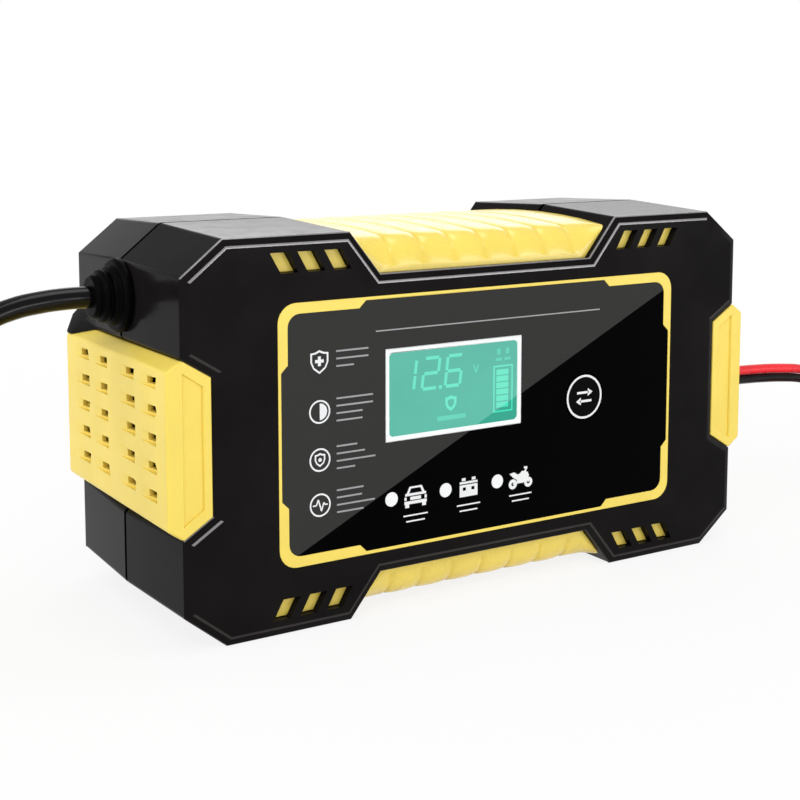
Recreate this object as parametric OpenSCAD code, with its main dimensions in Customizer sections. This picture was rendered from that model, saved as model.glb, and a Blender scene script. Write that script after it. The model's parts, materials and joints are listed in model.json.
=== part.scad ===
// Car battery charger: two moulded shells with ribbed grips and vented end panels,
// a display front, the electronics behind it, a mains lead with plug and a twin
// output lead with two battery clips.
// X runs along the front, +Y to the rear, +Z up. The feet stand on z = 0.

/* [Case] */
// Width over the black shells at the edge of the front face
case_w = 160; // [158:1:164]
// Height over the black shells at the edge of the front face
case_h = 90; // [88:1:94]
// Depth from front face to rear face
case_d = 63; // [62:0.5:66]
// Wall thickness of the shells
wall = 2.4; // [2.2:0.1:2.6]
// Swelling of the walls from the faces to the parting plane
draft = 1.2; // [0.6:0.1:1.4]
// Width of the bevel round the front and rear faces
bevel_w = 1.9; // [1.2:0.1:2.2]
// Depth of the bevel round the front and rear faces
bevel_d = 0.8; // [0.5:0.1:1]
// Width of each cut corner
corner_x = 10; // [9:0.5:11]
// Height of each cut corner
corner_z = 8; // [7:0.5:9]
// Half width of the grip recess at its mouth
mouth_x = 38.5; // [38:0.5:39]
// Half width of the grip recess at its floor
floor_x = 30.5; // [30:0.5:31]
// Depth of the grip recess
recess_z = 10; // [9.5:0.5:10]

/* [Grips] */
// Number of ribs on a grip
rib_count = 8; // [6:2:8]
// Distance from rib to rib
rib_pitch = 8.8; // [8.6:0.1:9]
// Height of a rib's middle above its sides
rib_rise = 0.3; // [0.2:0.05:0.4]
// Depth of the groove between two ribs, below their sides
groove_d = 0.4; // [0.3:0.1:0.5]
// Radius of the grip's rounded front and rear edges
grip_r = 6.5; // [6.1:0.1:6.9]

/* [End panels] */
// Depth of the notch that takes an end panel
notch_x = 7; // [6.5:0.5:7.5]
// Half height of the notch at the outer wall
notch_outer = 19.7; // [19:0.1:20]
// Half height of the notch at its floor
notch_inner = 15.3; // [15:0.1:16]
// How far an end panel stands out of the wall
panel_out = 3.5; // [3:0.1:4]
// Half height of an end panel's flat face
panel_flat = 17.2; // [17:0.1:17.6]
// Length of one air slot
slot_l = 8.6; // [8.2:0.1:9]
// Height of one air slot
slot_h = 2.6; // [2.4:0.1:3]

/* [Front] */
// Half width of the front label
label_x = 57.3; // [57:0.1:57.5]
// Half height of the front label
label_z = 30; // [29.5:0.1:30]
// Thickness of the label and its border
label_t = 0.8; // [0.6:0.1:1]
// Border width at the corners
border_wide = 2.5; // [2:0.1:3]
// Border width along the sides
border_thin = 0.8; // [0.6:0.1:1]
// Width of the display window
lcd_w = 39; // [38:0.5:39]
// Height of the display window
lcd_h = 22; // [21:0.5:22]
// Radius of the mode button
button_r = 5.8; // [5.5:0.1:5.9]
// Travel of the mode button
button_travel = 0.5; // [0.3:0.1:0.5]

/* [Leads] */
// Diameter of the mains lead
mains_d = 5; // [4.6:0.1:5.2]
// Diameter of one core of the output lead
lead_d = 2.8; // [2.6:0.1:2.9]
// Length of a battery clip in front of its pivot
clip_front = 38; // [36:1:40]
// Length of a battery clip behind its pivot
clip_back = 37; // [36:1:38]
// Thickness of a battery clip
clip_t = 14; // [14:0.5:15]

/* [Hidden] */

black = "#1d1c1d";
yellow = "#f2cf3c";
red = "#d2161c";
copper = "#c47b4a";
steel = "#b9bcc0";
board_green = "#1f6b45";
$fn = 48;

// Planes and centre lines of the case
half_w = case_w / 2;
mid_z = case_h / 2;
front_y = -case_d / 2;
wall_y = front_y + wall;
edge_y = front_y + bevel_d;
notch_floor = half_w - notch_x;
panel_x = half_w + panel_out;
panel_y = case_d / 2 - 0.5;
vent_y = 25;
vent_z = 12;

// Screw bosses of the two shells
boss_x = 64;
boss_z = mid_z - 8;
boss_r = 4.2;
screw_r = 1.5;
screw_seat_y = 8;

// Display window, button and indicators on the front
lcd_x = -10.1;
lcd_z = 51.5;
button_x = 28.9;
button_z = 45;
lamp_xs = [-28, -12.9, 2.2];
lamp_z = 27;
lamp_r = 1.7;
display_y = -21;
board_t = 1.6;
display_posts = [[-33, 21.5], [37, 21.5], [-33, 66.5], [37, 66.5]];
main_y = 20;
main_posts = [[-52, 19], [54, 19], [-52, 71], [54, 71]];

// Where the two leads leave the case
mains_z = 75.2;
mains_end_x = -88.5;
dc_z = 37.2;
dc_end_x = 88;

// Route of the mains lead from its strain relief to the start of its coil
mains_route = [
    [mains_end_x, 0, mains_z], [-94, 0, mains_z], [-100, 0, 74.8], [-106, -0.3, 73.9], [-112, -1.2, 72],
    [-118, -3.6, 68], [-123, -7.4, 61.6], [-126.4, -11.6, 52], [-129.2, -15.8, 39], [-132, -20, 26],
    [-135, -24, 15.5], [-140, -28, 8.5], [-147, -30.7, 4.8], [-154, -31.7, 3.3], [-159, -31.7, 3.3]
];
// Route of the middle of the output lead to the start of its coil
dc_route = [
    [dc_end_x, 0, dc_z], [96, 0, 37.2], [105, 0, 37], [114, 0, 36.7], [123, 0, 36.3], [132, 0, 35.6],
    [141, 0.2, 34.3], [146, 0.8, 32.6], [149.6, 1.5, 29], [151.1, 2.2, 24], [151.6, 2.8, 18.5],
    [152.4, 3.2, 13], [154.4, 3.5, 8.4], [158, 3.5, 5], [161.4, 3.5, 3.8], [164.2, 3.5, 3.8]
];

// Coil of the mains lead: two layers, then a turn back over the top to the plug
mains_r = 31.7;
mains_pitch = 5.7;
mains_lift = 5.6;
mains_turns_in = 2;
mains_turns_out = 2 + 1 / 6;
mains_start = -90;
mains_leave = 30;
mains_centre = [-164, 0];
return_r = 20;
plug_z = 18.4;
plug_x = -159;
// Coil of the output lead: two layers, then two tails to the clips
lead_r = 18.5;
lead_pitch = 3.6;
lead_lift = 6.2;
lead_turns_in = 2;
lead_turns_out = 1.5;
lead_start = 90;
lead_centre = [167, -15];
lead_gap = 2.9;
coil_dip = 0.8;
rings = 24;

// Battery clips: pivot place, spacing and jaw profile
pivot_x = 234;
pivot_y = 18;
pin_r = 1.5;
ear_r = 6;
ear_room = 6.4;
clip_mid = clip_t / 2;

function unit(v) = v / norm(v);
function turned(v) = [-v[1], v[0]];
function inset(pts, d) = [
    for (i = [0:len(pts) - 1])
        let (n = len(pts))
        let (a = turned(unit(pts[i] - pts[(i + n - 1) % n])))
        let (b = turned(unit(pts[(i + 1) % n] - pts[i])))
        pts[i] + d * (a + b) / (1 + a * b)
];
function backwards(pts) = [for (i = [len(pts) - 1:-1:0]) pts[i]];
function mirrored(pts) = [for (i = [len(pts) - 1:-1:0]) [-pts[i][0], pts[i][1]]];
function smooth(s) = s * s * (3 - 2 * s);

// Right half of the case outline in X and Z, with its walls and top moved out by g
function half_outline(g) =
    let (w = half_w + g)
    let (h = case_h + g)
    let (notch_lean = (notch_outer - notch_inner) / notch_x)
    let (recess_lean = (mouth_x - floor_x) / recess_z)
    [
        [floor_x, recess_z], [mouth_x, 0], [w - corner_x, 0], [w, corner_z],
        [w, mid_z - notch_outer - notch_lean * g], [notch_floor, mid_z - notch_inner],
        [notch_floor, mid_z + notch_inner], [w, mid_z + notch_outer + notch_lean * g],
        [w, h - corner_z], [w - corner_x, h], [mouth_x + recess_lean * g, h],
        [floor_x, case_h - recess_z]
    ];
function outline(g) = concat(half_outline(g), mirrored(half_outline(g)));

// Section of an end panel in X and Z
panel_section = [
    [notch_floor, mid_z - notch_inner], [half_w, mid_z - notch_outer], [panel_x, mid_z - panel_flat],
    [panel_x, mid_z + panel_flat], [half_w, mid_z + notch_outer], [notch_floor, mid_z + notch_inner]
];

// Extrudes a profile in X and Z from y0 to y1
module slab(y0, y1) {
    translate([0, y1, 0]) rotate([90, 0, 0]) linear_extrude(y1 - y0) children();
}
// A round rod along Y at a place in X and Z
module rod_y(place, y0, y1, r) {
    translate([place[0], y0, place[1]]) rotate([-90, 0, 0]) cylinder(h = y1 - y0, r = r);
}
// A box given by its lowest and highest corners
module box(low, high) {
    translate(low) cube(high - low);
}
module mirror_z() {
    translate([0, 0, case_h]) mirror([0, 0, 1]) children();
}
module all_corners() {
    for (sx = [0, 1], sz = [0, 1])
        translate([0, 0, sz * case_h]) mirror([sx, 0, 0]) mirror([0, 0, sz]) children();
}

// A solid skinned over rings of equal length that stand at the given depths
module loft(sections, depths) {
    n = len(sections[0]);
    last = (len(sections) - 1) * n;
    polyhedron(
        points = [for (k = [0:len(sections) - 1]) for (p = sections[k]) [p[0], depths[k], p[1]]],
        faces = concat(
            [[for (i = [n - 1:-1:0]) i]],
            [for (k = [0:len(sections) - 2], i = [0:n - 1])
                [k * n + i, k * n + (i + 1) % n, (k + 1) * n + (i + 1) % n, (k + 1) * n + i]],
            [[for (i = [0:n - 1]) last + i]]
        )
    );
}

// A closed skin over rings of as many points each, with flat ends
module skin(rings) {
    n = len(rings[0]);
    last = (len(rings) - 1) * n;
    polyhedron(
        points = [for (ring = rings) each ring],
        faces = concat(
            [[for (i = [0:n - 1]) i]],
            [for (k = [0:len(rings) - 2], i = [0:n - 1])
                let (a = k * n + i)
                let (b = k * n + (i + 1) % n)
                each [[a, b + n, b], [a, a + n, b + n]]],
            [[for (i = [n - 1:-1:0]) last + i]]
        )
    );
}

// A round tube along a path, with flat ends
function heading(path, i) = unit(path[min(i + 1, len(path) - 1)] - path[max(i - 1, 0)]);
function across(t) = unit(cross(t, [0, 0, 1]));
module tube(path, d, sides) {
    last = len(path) - 1;
    polyhedron(
        points = [
            for (i = [0:last])
                let (t = heading(path, i))
                let (s = across(t))
                let (u = cross(s, t))
                for (k = [0:sides - 1])
                    path[i] + d / 2 * (cos(360 * k / sides) * s + sin(360 * k / sides) * u)
        ],
        faces = concat(
            [[for (k = [0:sides - 1]) k]],
            [for (i = [0:last - 1], k = [0:sides - 1])
                let (a = i * sides + k)
                let (b = i * sides + (k + 1) % sides)
                each [[a, a + sides, b], [b, a + sides, b + sides]]],
            [[for (k = [sides - 1:-1:0]) last * sides + k]]
        )
    );
}
// The same path moved sideways in its own upright plane
function raised(path, d) = [
    for (i = [0:len(path) - 1])
        let (t = heading(path, i))
        path[i] + d * cross(across(t), t)
];

// Radius and height of a coil after t turns: in, up in half a turn, and out again
function coil_radius(t, r, pitch, n) =
    t < n ? r - pitch * t :
    t < n + 0.5 ? r - pitch * n - coil_dip * sin(360 * (t - n)) :
    r - pitch * n + pitch * (t - n - 0.5);
function coil_height(t, lift, n) = lift * smooth(min(max((t - n) * 2, 0), 1));
function coil_path(centre, z, start, r, pitch, lift, n, turns) = [
    for (i = [0:round(turns * rings)])
        let (t = i / rings)
        let (a = start - 360 * t)
        let (q = coil_radius(t, r, pitch, n))
        [centre[0] + q * cos(a), centre[1] + q * sin(a), z + coil_height(t, lift, n)]
];
// Least gap between turns, measured between points at least a quarter turn apart
function least_gap(path, d) = min([
    for (i = [0:len(path) - 1], j = [i + rings / 4:1:len(path) - 1]) norm(path[i] - path[j])
]) - d;

// Mains coil, with its climb over the top and its turn back to the plug
mains_rest_z = mains_route[len(mains_route) - 1][2];
mains_loops = coil_path(
    mains_centre, mains_rest_z, mains_start, mains_r, mains_pitch, mains_lift, mains_turns_in,
    mains_turns_in + 0.5 + mains_turns_out
);
climb_rings = 8;
return_rings = 8;
climb_start = len(mains_loops) - 1 - climb_rings;
function climb(i) = (plug_z - mains_rest_z - mains_lift) * smooth(i / (climb_rings + return_rings));
mains_end_r = mains_r + mains_pitch * (mains_turns_out - mains_turns_in);
return_centre = mains_centre + (mains_end_r - return_r) * [cos(mains_leave), sin(mains_leave)];
plug_y = return_centre[1] - return_r;
mains_coil_path = concat(
    [mains_route[len(mains_route) - 1]],
    [for (i = [0:len(mains_loops) - 1]) mains_loops[i] + [0, 0, climb(max(i - climb_start, 0))]],
    [for (i = [1:return_rings])
        let (a = mains_leave - (90 + mains_leave) * i / return_rings)
        [
            return_centre[0] + return_r * cos(a),
            return_centre[1] + return_r * sin(a),
            mains_rest_z + mains_lift + climb(climb_rings + i)
        ]],
    [[plug_x, plug_y, plug_z]]
);

// Output lead: run, coil and tail of one core, up = 1 for the upper core and -1 for the lower
function lead_run(up) = raised(dc_route, up * lead_gap / 2);
function lead_tail(up) = [
    [176, 1.8 + up * 0.5, 9.9 + up * 1.4], [184, 1 + up * 2.2, 8.8 + up * 0.6],
    [190, 0.2 + up * 4.6, 7.4], [pivot_x - clip_back - lead_d, up * 5.3, clip_mid],
    [pivot_x - clip_back, up * 5.3, clip_mid]
];
function lead_coil(up) =
    let (join = dc_route[len(dc_route) - 1] + [0, 0, up * lead_gap / 2])
    concat(
        [join],
        coil_path(
            lead_centre, join[2], lead_start, lead_r, lead_pitch, lead_lift, lead_turns_in,
            lead_turns_in + 0.5 + lead_turns_out
        ),
        lead_tail(up)
    );

// Pitch curve of a battery clip's edge between two points, bent towards a third
function bend(a, c, b, n) = [
    for (i = [0:n])
        let (s = i / n)
        (1 - s) * (1 - s) * a + 2 * s * (1 - s) * c + s * s * b
];
jaw_in = 1.6;
teeth_from = 14;
clip_outline = concat(
    [[clip_front, jaw_in], [clip_front + 0.6, 3]],
    bend([clip_front - 0.5, 5.2], [20, 9.5], [4, 10.2], 8),
    bend([2, 10.2], [-8, 9.2], [-16, 11.6], 6),
    bend([-18, 12.1], [-30, 15.4], [-clip_back, 15.2], 6),
    bend([-clip_back, 10.2], [-24, 9.4], [-9, 5.2], 8),
    [[-6, 2.4], [teeth_from - 4, jaw_in]]
);
tooth_pitch = 2.4;
tooth_count = floor((clip_front - teeth_from) / tooth_pitch);
teeth_outline = concat(
    [[teeth_from, jaw_in], [teeth_from, 0.9]],
    [for (i = [0:tooth_count - 1]) each [
        [teeth_from + (i + 0.5) * tooth_pitch, 0.2], [teeth_from + (i + 1) * tooth_pitch, 0.9]
    ]],
    [[teeth_from + tooth_count * tooth_pitch, jaw_in]]
);
// Torsion spring: a leg, two and a half curls round the pin and a leg back
spring_d = 1;
spring_r = 3.4;
spring_pitch = 1.5;
spring_curls = 2.5;
spring_rings = 8;
spring_leg = [[-22, 7.65], [-21, 7.45], [-11, 4.5], [-4, 3.6]];
spring_low = clip_mid - spring_curls * spring_pitch / 2;
spring_path = concat(
    [for (p = spring_leg) [p[0], p[1], spring_low]],
    [for (i = [0:spring_curls * spring_rings])
        let (t = i / spring_rings)
        [spring_r * cos(90 - 360 * t), spring_r * sin(90 - 360 * t), spring_low + spring_pitch * t]],
    [for (p = backwards(spring_leg)) [p[0], -p[1], spring_low + spring_pitch * spring_curls]]
);

union() {
    echo(mains_coil_gap = least_gap(mains_coil_path, mains_d));
    echo(red_coil_gap = least_gap(lead_coil(1), lead_d));
    echo(black_coil_gap = least_gap(lead_coil(-1), lead_d));
    echo(spring_gap = min([
        for (i = [0:len(spring_path) - 1], j = [i + 4:1:len(spring_path) - 1])
            norm(spring_path[i] - spring_path[j])
    ]) - spring_d);
}

// One slanted accent slot, or the bar behind it with the given clearance
accent_xs = [42, 48.75, 55.5];
accent_w = 4.4;
accent_h = 4.6;
accent_lean = 2.6;
accent_z = case_h - 6;
module accent_slots(clear) {
    w = accent_w / 2 - clear;
    h = accent_h / 2 - clear;
    lean = accent_lean * h / accent_h;
    for (x = accent_xs)
        polygon([
            [x - w - lean, accent_z - h], [x + w - lean, accent_z - h],
            [x + w + lean, accent_z + h], [x - w + lean, accent_z + h]
        ]);
}

// Label outline and the inner edge of its stepped border
label_round = 4.5;
border_round = 3;
step_x = 36.5;
step_z = 16.2;
function corner_arc(x, z, r, n) = [
    for (i = [0:n]) [x - r + r * cos(90 * i / n), z - r + r * sin(90 * i / n)]
];
function border_quarter() =
    let (xt = label_x - border_thin)
    let (zt = label_z - border_thin)
    let (xw = label_x - border_wide)
    let (zw = label_z - border_wide)
    let (s = border_wide - border_thin)
    concat(
        [[xt, step_z - s], [xw, step_z]], corner_arc(xw, zw, border_round, 5),
        [[step_x, zw], [step_x - s, zt]]
    );
function flipped(pts, sx, sz) = [for (p = pts) [p[0] * sx, p[1] * sz]];
function all_quarters(q) = concat(
    q, backwards(flipped(q, -1, 1)), flipped(q, -1, -1), backwards(flipped(q, 1, -1))
);
label_outer = all_quarters(corner_arc(label_x, label_z, label_round, 6));
border_inner = all_quarters(border_quarter());
module label_shape() {
    translate([0, mid_z]) polygon(label_outer);
}
module window_shape(grow) {
    translate([lcd_x - lcd_w / 2 - grow, lcd_z - lcd_h / 2 - grow])
        square([lcd_w + 2 * grow, lcd_h + 2 * grow]);
}
module front_openings(button_gap, lamp_gap) {
    window_shape(0);
    translate([button_x, button_z]) circle(button_r + button_gap);
    for (x = lamp_xs) translate([x, lamp_z]) circle(lamp_r + lamp_gap);
}

// Shared by both shells: the openings towards the two end panels and for the mains lead
module side_openings() {
    for (side = [-1, 1])
        translate([side * notch_floor, 0, mid_z]) cube([12, 2 * vent_y, 2 * vent_z], center = true);
    translate([-half_w - 3, 0, mains_z]) rotate([0, 90, 0]) cylinder(h = 12, r = 5);
}
module case_cavity(y0, y1) {
    slab(y0, y1) polygon(inset(outline(0), wall));
}
// Ribs that hold the fan against the notch wall
fan_x = -notch_floor + wall;
fan_t = 10;
fan_half = 20;
module fan_ribs(y0, y1) {
    box([fan_x + fan_t, y0, mid_z - 18], [fan_x + fan_t + 2, y1, mid_z + 18]);
}

// Solid front half of the case: a longer skin trimmed to the front face and the parting plane
skin_extra = 0.1;
module front_block() {
    intersection() {
        loft(
            [inset(outline(0), 1.5 * bevel_w), outline(0), outline(draft * (1 + skin_extra))],
            [edge_y - 1.5 * bevel_d, edge_y, -skin_extra * edge_y]
        );
        box([-case_w, front_y, -case_h], [case_w, 0, 2 * case_h]);
    }
}
module front_shell() {
    color(black) difference() {
        union() {
            difference() {
                front_block();
                case_cavity(wall_y, 1);
            }
            all_corners() rod_y([boss_x, mid_z + boss_z], wall_y, 0, boss_r);
            for (p = display_posts) rod_y(p, wall_y, display_y, 2.5);
            fan_ribs(wall_y, -17);
        }
        slab(front_y - 1, front_y + label_t) label_shape();
        slab(front_y - 1, wall_y + 1) front_openings(0.3, 0.05);
        all_corners() slab(front_y - 1, wall_y + 1) accent_slots(0);
        all_corners() rod_y([boss_x, mid_z + boss_z], -14, 1, screw_r);
        for (p = display_posts) rod_y(p, display_y - 6, display_y + 1, 1);
        side_openings();
    }
}

// Fairing above the rear end of the left end panel: a wedge that runs out along the wall
fairing_ys = [18, 28];
module cable_fairing() {
    intersection() {
        slab(fairing_ys[0], case_d / 2 - 1.2) polygon([
            [-half_w + 0.8, mid_z + notch_outer + 0.5], [-half_w - 0.3, mid_z + notch_outer + 0.05],
            [-panel_x + 0.1, mid_z + panel_flat + 0.35], [-panel_x, mid_z + panel_flat + 0.8],
            [-half_w - 1.9, mid_z + notch_outer + 2.3], [-half_w + 0.8, mid_z + notch_outer + 5]
        ]);
        translate([0, 0, mid_z]) linear_extrude(mid_z) polygon([
            [-half_w - 0.3, fairing_ys[0]], [-half_w + 2, fairing_ys[0] - 1], [-half_w + 2, case_d],
            [-panel_x - 1, case_d], [-panel_x - 1, fairing_ys[1] + 3]
        ]);
    }
}
module rear_shell() {
    color(black) difference() {
        union() {
            difference() {
                mirror([0, 1, 0]) front_block();
                case_cavity(-1, -wall_y);
            }
            all_corners() rod_y([boss_x, mid_z + boss_z], 0, -wall_y, boss_r);
            for (p = main_posts) rod_y(p, main_y + board_t, -wall_y, 3);
            fan_ribs(17, -wall_y);
            cable_fairing();
        }
        all_corners() rod_y([boss_x, mid_z + boss_z], -1, screw_seat_y + 1, screw_r + 0.2);
        all_corners() rod_y([boss_x, mid_z + boss_z], screw_seat_y, -front_y + 1, 3);
        for (p = main_posts) rod_y(p, main_y, main_y + board_t + 6, 1.25);
        side_openings();
    }
}

// Ribbed grip that fills the top recess, in place: a crowned top with rounded front and rear edges,
// which grow square towards the recess's slanted ends
grip_crown = case_h - 0.6;
crown_r = 260;
grip_front = case_d / 2 - 2.5;
grip_end_r = 1.4;
grip_floor = case_h - recess_z;
recess_lean = (mouth_x - floor_x) / recess_z;
edge_steps = 5;
crown_steps = 6;
// A cross-section in Y and Z, with edges of radius r, its ribbed part sunk by d
function grip_section(r, d) =
    let (y = grip_front - r)
    let (tilt = asin(y / (crown_r - r)))
    let (middle = grip_crown - crown_r)
    let (z = middle + (crown_r - r) * cos(tilt))
    let (edge = [for (i = [0:edge_steps])
        let (a = (90 - tilt) * i / edge_steps)
        [y + (r - d) * cos(a), z + (r - d) * sin(a)]])
    let (crown = [for (i = [1:crown_steps - 1])
        let (a = tilt - 2 * tilt * i / crown_steps)
        [(crown_r - d) * sin(a), middle + (crown_r - d) * cos(a)]])
    let (side = concat([[grip_front, grip_floor], [grip_front, z - 0.6]], edge))
    concat(side, crown, mirrored(side));
// That section set upright at x, and set against the recess's end a gap away from it
function rib_ring(x, d) = [for (p = grip_section(grip_r, d)) [x, p[0], p[1]]];
function end_ring(side, gap, r) = [
    for (p = grip_section(r, 0.05))
        [side * (floor_x - gap + recess_lean * (p[1] - grip_floor)), p[0], p[1]]
];
// Depth of the ribs' surface beside a groove
groove_floor = 0.15;
groove_edge = 0.65;
rib_shoulder = 2.4;
function rib_depth(from_groove) =
    from_groove > groove_floor
        ? rib_rise * pow(1 - from_groove / (rib_pitch / 2), 2)
        : rib_rise + groove_d;
end_gap = 0.1;
end_flare = 3;
module grip_shape() {
    before = [-rib_pitch / 2, -rib_shoulder, -groove_edge, -groove_floor];
    beside = concat(before, [groove_floor, groove_edge, rib_shoulder]);
    difference() {
        skin(concat(
            [end_ring(-1, end_gap, grip_end_r), end_ring(-1, end_flare, grip_r)],
            [for (i = [1:rib_count - 1], off = beside)
                let (x = (i - rib_count / 2) * rib_pitch + off)
                if (abs(x) < floor_x - end_flare - 0.2) rib_ring(x, rib_depth(abs(off)))],
            [end_ring(1, end_flare, grip_r), end_ring(1, end_gap, grip_end_r)]
        ));
        box([5 - floor_x, 5 - grip_front, grip_floor - 1], [floor_x - 5, grip_front - 5, grip_crown - 5]);
    }
}
module top_grip() {
    color(yellow) grip_shape();
}
module bottom_grip() {
    color(yellow) mirror_z() grip_shape();
}

// Vented end panel of the right side, in place
slot_ys = [-20.9, -8.4, 7.6, 20.1];
slot_z0 = mid_z + 1.6;
slot_dz = 6.28;
slot_hole = [5.6, 1.5];
panel_wall = 2;
module air_slot(y, z) {
    translate([0, 0, z - slot_h / 2]) linear_extrude(slot_h) polygon([
        [panel_x + 0.2, y + slot_l / 2], [panel_x, y + slot_l / 2],
        [panel_x - 1.5, y - slot_l / 2], [panel_x + 0.2, y - slot_l / 2]
    ]);
    box(
        [panel_x - 3, y - slot_l / 2, z - slot_hole[1] / 2],
        [panel_x - 0.3, y - slot_l / 2 + slot_hole[0], z + slot_hole[1] / 2]
    );
}
module end_panel(keep_clear) {
    difference() {
        slab(-panel_y, panel_y) polygon(panel_section);
        slab(-panel_y + panel_wall, panel_y - panel_wall) polygon(inset(panel_section, panel_wall));
        translate([notch_floor, 0, mid_z]) cube([6, 2 * vent_y, 2 * vent_z], center = true);
        for (y = slot_ys, row = [-2:2])
            if (!keep_clear || abs(y) > 12 || row > 0) air_slot(y, slot_z0 + row * slot_dz);
        for (rear = [0, 1])
            mirror([0, rear, 0]) slab(-panel_y - 1, -panel_y + 0.6) polygon([
                [notch_floor + 2, mid_z - 13.5], [half_w - 0.4, mid_z - 16.6],
                [half_w - 0.4, mid_z + 16.6], [notch_floor + 2, mid_z + 13.5]
            ]);
    }
}
grommet_r = 4.2;
module left_vent_panel() {
    color(yellow) mirror([1, 0, 0]) end_panel(false);
}
module right_vent_panel() {
    color(yellow) difference() {
        end_panel(true);
        translate([panel_x - 6, 0, dc_z]) rotate([0, 90, 0]) cylinder(h = 10, r = grommet_r);
    }
}

module corner_accents() {
    color(yellow) all_corners() {
        slab(front_y + 1.9, wall_y) accent_slots(0.1);
        box([39, wall_y, accent_z - 3.4], [59.4, wall_y + 1.6, accent_z + 2.4]);
    }
}
module label_border() {
    color(yellow) slab(front_y, front_y + label_t) difference() {
        label_shape();
        translate([0, mid_z]) polygon(border_inner);
    }
}
module front_label() {
    color("#0c0c0e") slab(front_y + 0.1, front_y + label_t) difference() {
        translate([0, mid_z]) polygon(border_inner);
        front_openings(0.3, 0.05);
    }
}

lcd_rim = 1.2;
lcd_back = wall_y + 0.5;
module lcd_bezel() {
    color("white") slab(front_y + 0.3, lcd_back) difference() {
        window_shape(0);
        window_shape(-lcd_rim);
    }
}
module lcd_glass() {
    color("#35c4ae") slab(front_y + 0.6, lcd_back) window_shape(-lcd_rim);
}
module lcd_backlight() {
    color("#e8e8e2") slab(lcd_back, display_y) window_shape(1.6);
}
module display_board() {
    color(board_green) slab(display_y, display_y + board_t) difference() {
        translate([-37, 17.5]) square([78, 53]);
        for (p = display_posts) translate(p) circle(1.3);
    }
}
button_front = front_y + 0.1;
button_flange = wall_y + 0.5;
switch_top = display_y - 4.9;
module mode_button() {
    place = [button_x, button_z];
    color("#141416") {
        rod_y(place, button_front, button_flange, button_r);
        rod_y(place, button_flange, button_flange + 1, button_r + 1.2);
        rod_y(place, button_flange + 1, switch_top - button_travel - 0.2, 2);
    }
}
module mode_switch() {
    color(steel) {
        slab(display_y - 3.6, display_y) translate([button_x - 3, button_z - 3]) square(6);
        rod_y([button_x, button_z], switch_top, display_y - 3.6, 1.7);
    }
}
module indicator_lenses() {
    color("white") for (x = lamp_xs) {
        rod_y([x, lamp_z], front_y + 0.1, wall_y + 1.5, lamp_r);
        rod_y([x, lamp_z], wall_y, wall_y + 0.8, lamp_r + 0.8);
    }
}
module indicator_leds() {
    color("#c8d8c0") for (x = lamp_xs) {
        rod_y([x, lamp_z], display_y - 4, display_y, 1.5);
        rod_y([x, lamp_z], display_y - 1, display_y, 1.9);
        translate([x, display_y - 4, lamp_z]) sphere(1.5);
    }
}

// A pan-head screw along Y: seat, tip and head
module screw(place, seat, tip, r, head_r, head) {
    rod_y(place, min(seat, tip), max(seat, tip), r);
    difference() {
        rod_y(place, min(seat, seat + head), max(seat, seat + head), head_r);
        slab(seat + head - 0.6, seat + head + 0.6) translate(place) {
            square([1.6 * head_r, 0.7], center = true);
            square([0.7, 1.6 * head_r], center = true);
        }
    }
}
module case_screws() {
    color(steel) all_corners() screw([boss_x, mid_z + boss_z], screw_seat_y, -12, screw_r, 2.7, 2);
}
module board_screws() {
    color(steel) for (p = main_posts) screw(p, main_y, main_y + 7, 1.25, 2.5, -1.6);
}
module display_screws() {
    color(steel) for (p = display_posts) screw(p, display_y + board_t, display_y - 5, 1, 2, 1.3);
}

module main_board() {
    color(board_green) slab(main_y, main_y + board_t) difference() {
        translate([-56, 15]) square([114, 60]);
        for (p = main_posts) translate(p) circle(1.3);
    }
}
module transformer_core() {
    color("#3a3a3e") difference() {
        box([-9, -4, 30], [15, 18, 60]);
        box([-10, 0, 33.5], [16, 14, 41]);
        box([-10, 0, 49], [16, 14, 56.5]);
    }
}
module transformer_winding() {
    color("#d8b23a") {
        difference() {
            box([-13, 0, 33.5], [19, 14, 56.5]);
            box([-9, -1, 41], [15, 15, 49]);
        }
        difference() {
            box([-11, 14, 31], [17, main_y, 59]);
            box([-9, 13, 29], [15, 18, 61]);
        }
    }
}
// Electrolytic capacitor standing on the board, with its scored top and drawn-in neck
module can(place, r, h) {
    translate([place[0], main_y, place[1]]) rotate([90, 0, 0]) rotate_extrude() polygon([
        [0, 0], [r, 0], [r, 2], [r - 0.6, 2.6], [r, 3.2], [r, h - 0.8], [r - 0.8, h], [r - 1.6, h],
        [r - 1.6, h - 0.5], [0, h - 0.5]
    ]);
}
module bulk_capacitor() {
    color("#22315c") can([-26, 60], 9, 32);
}
module output_capacitors() {
    color("#22315c") for (z = [44, 56]) can([46, z], 5, 22);
}
module line_capacitor() {
    color("#e5b822") box([-50, 5, 22], [-32, main_y, 31]);
}
// Wound ring core on a small base
module ring_choke(place, r, h) {
    difference() {
        union() {
            rod_y(place, main_y - 2 - h, main_y - 2, r);
            for (a = [0:30:330])
                translate([place[0], 0, place[1]]) rotate([0, a, 0])
                    box([r - 1, main_y - 2 - h, -1.1], [r + 0.7, main_y - 2, 1.1]);
        }
        rod_y(place, 0, main_y - 2, r * 0.42);
    }
    rod_y(place, main_y - 2, main_y, r * 0.8);
}
module line_choke() {
    color("#b86b2c") ring_choke([-21.5, 26], 9, 9);
}
module output_choke() {
    color("#b86b2c") ring_choke([26.5, 25], 7.4, 10);
}
module bridge_rectifier() {
    color("#202022") box([-50, 4, 40], [-36, main_y, 43.5]);
}
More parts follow.
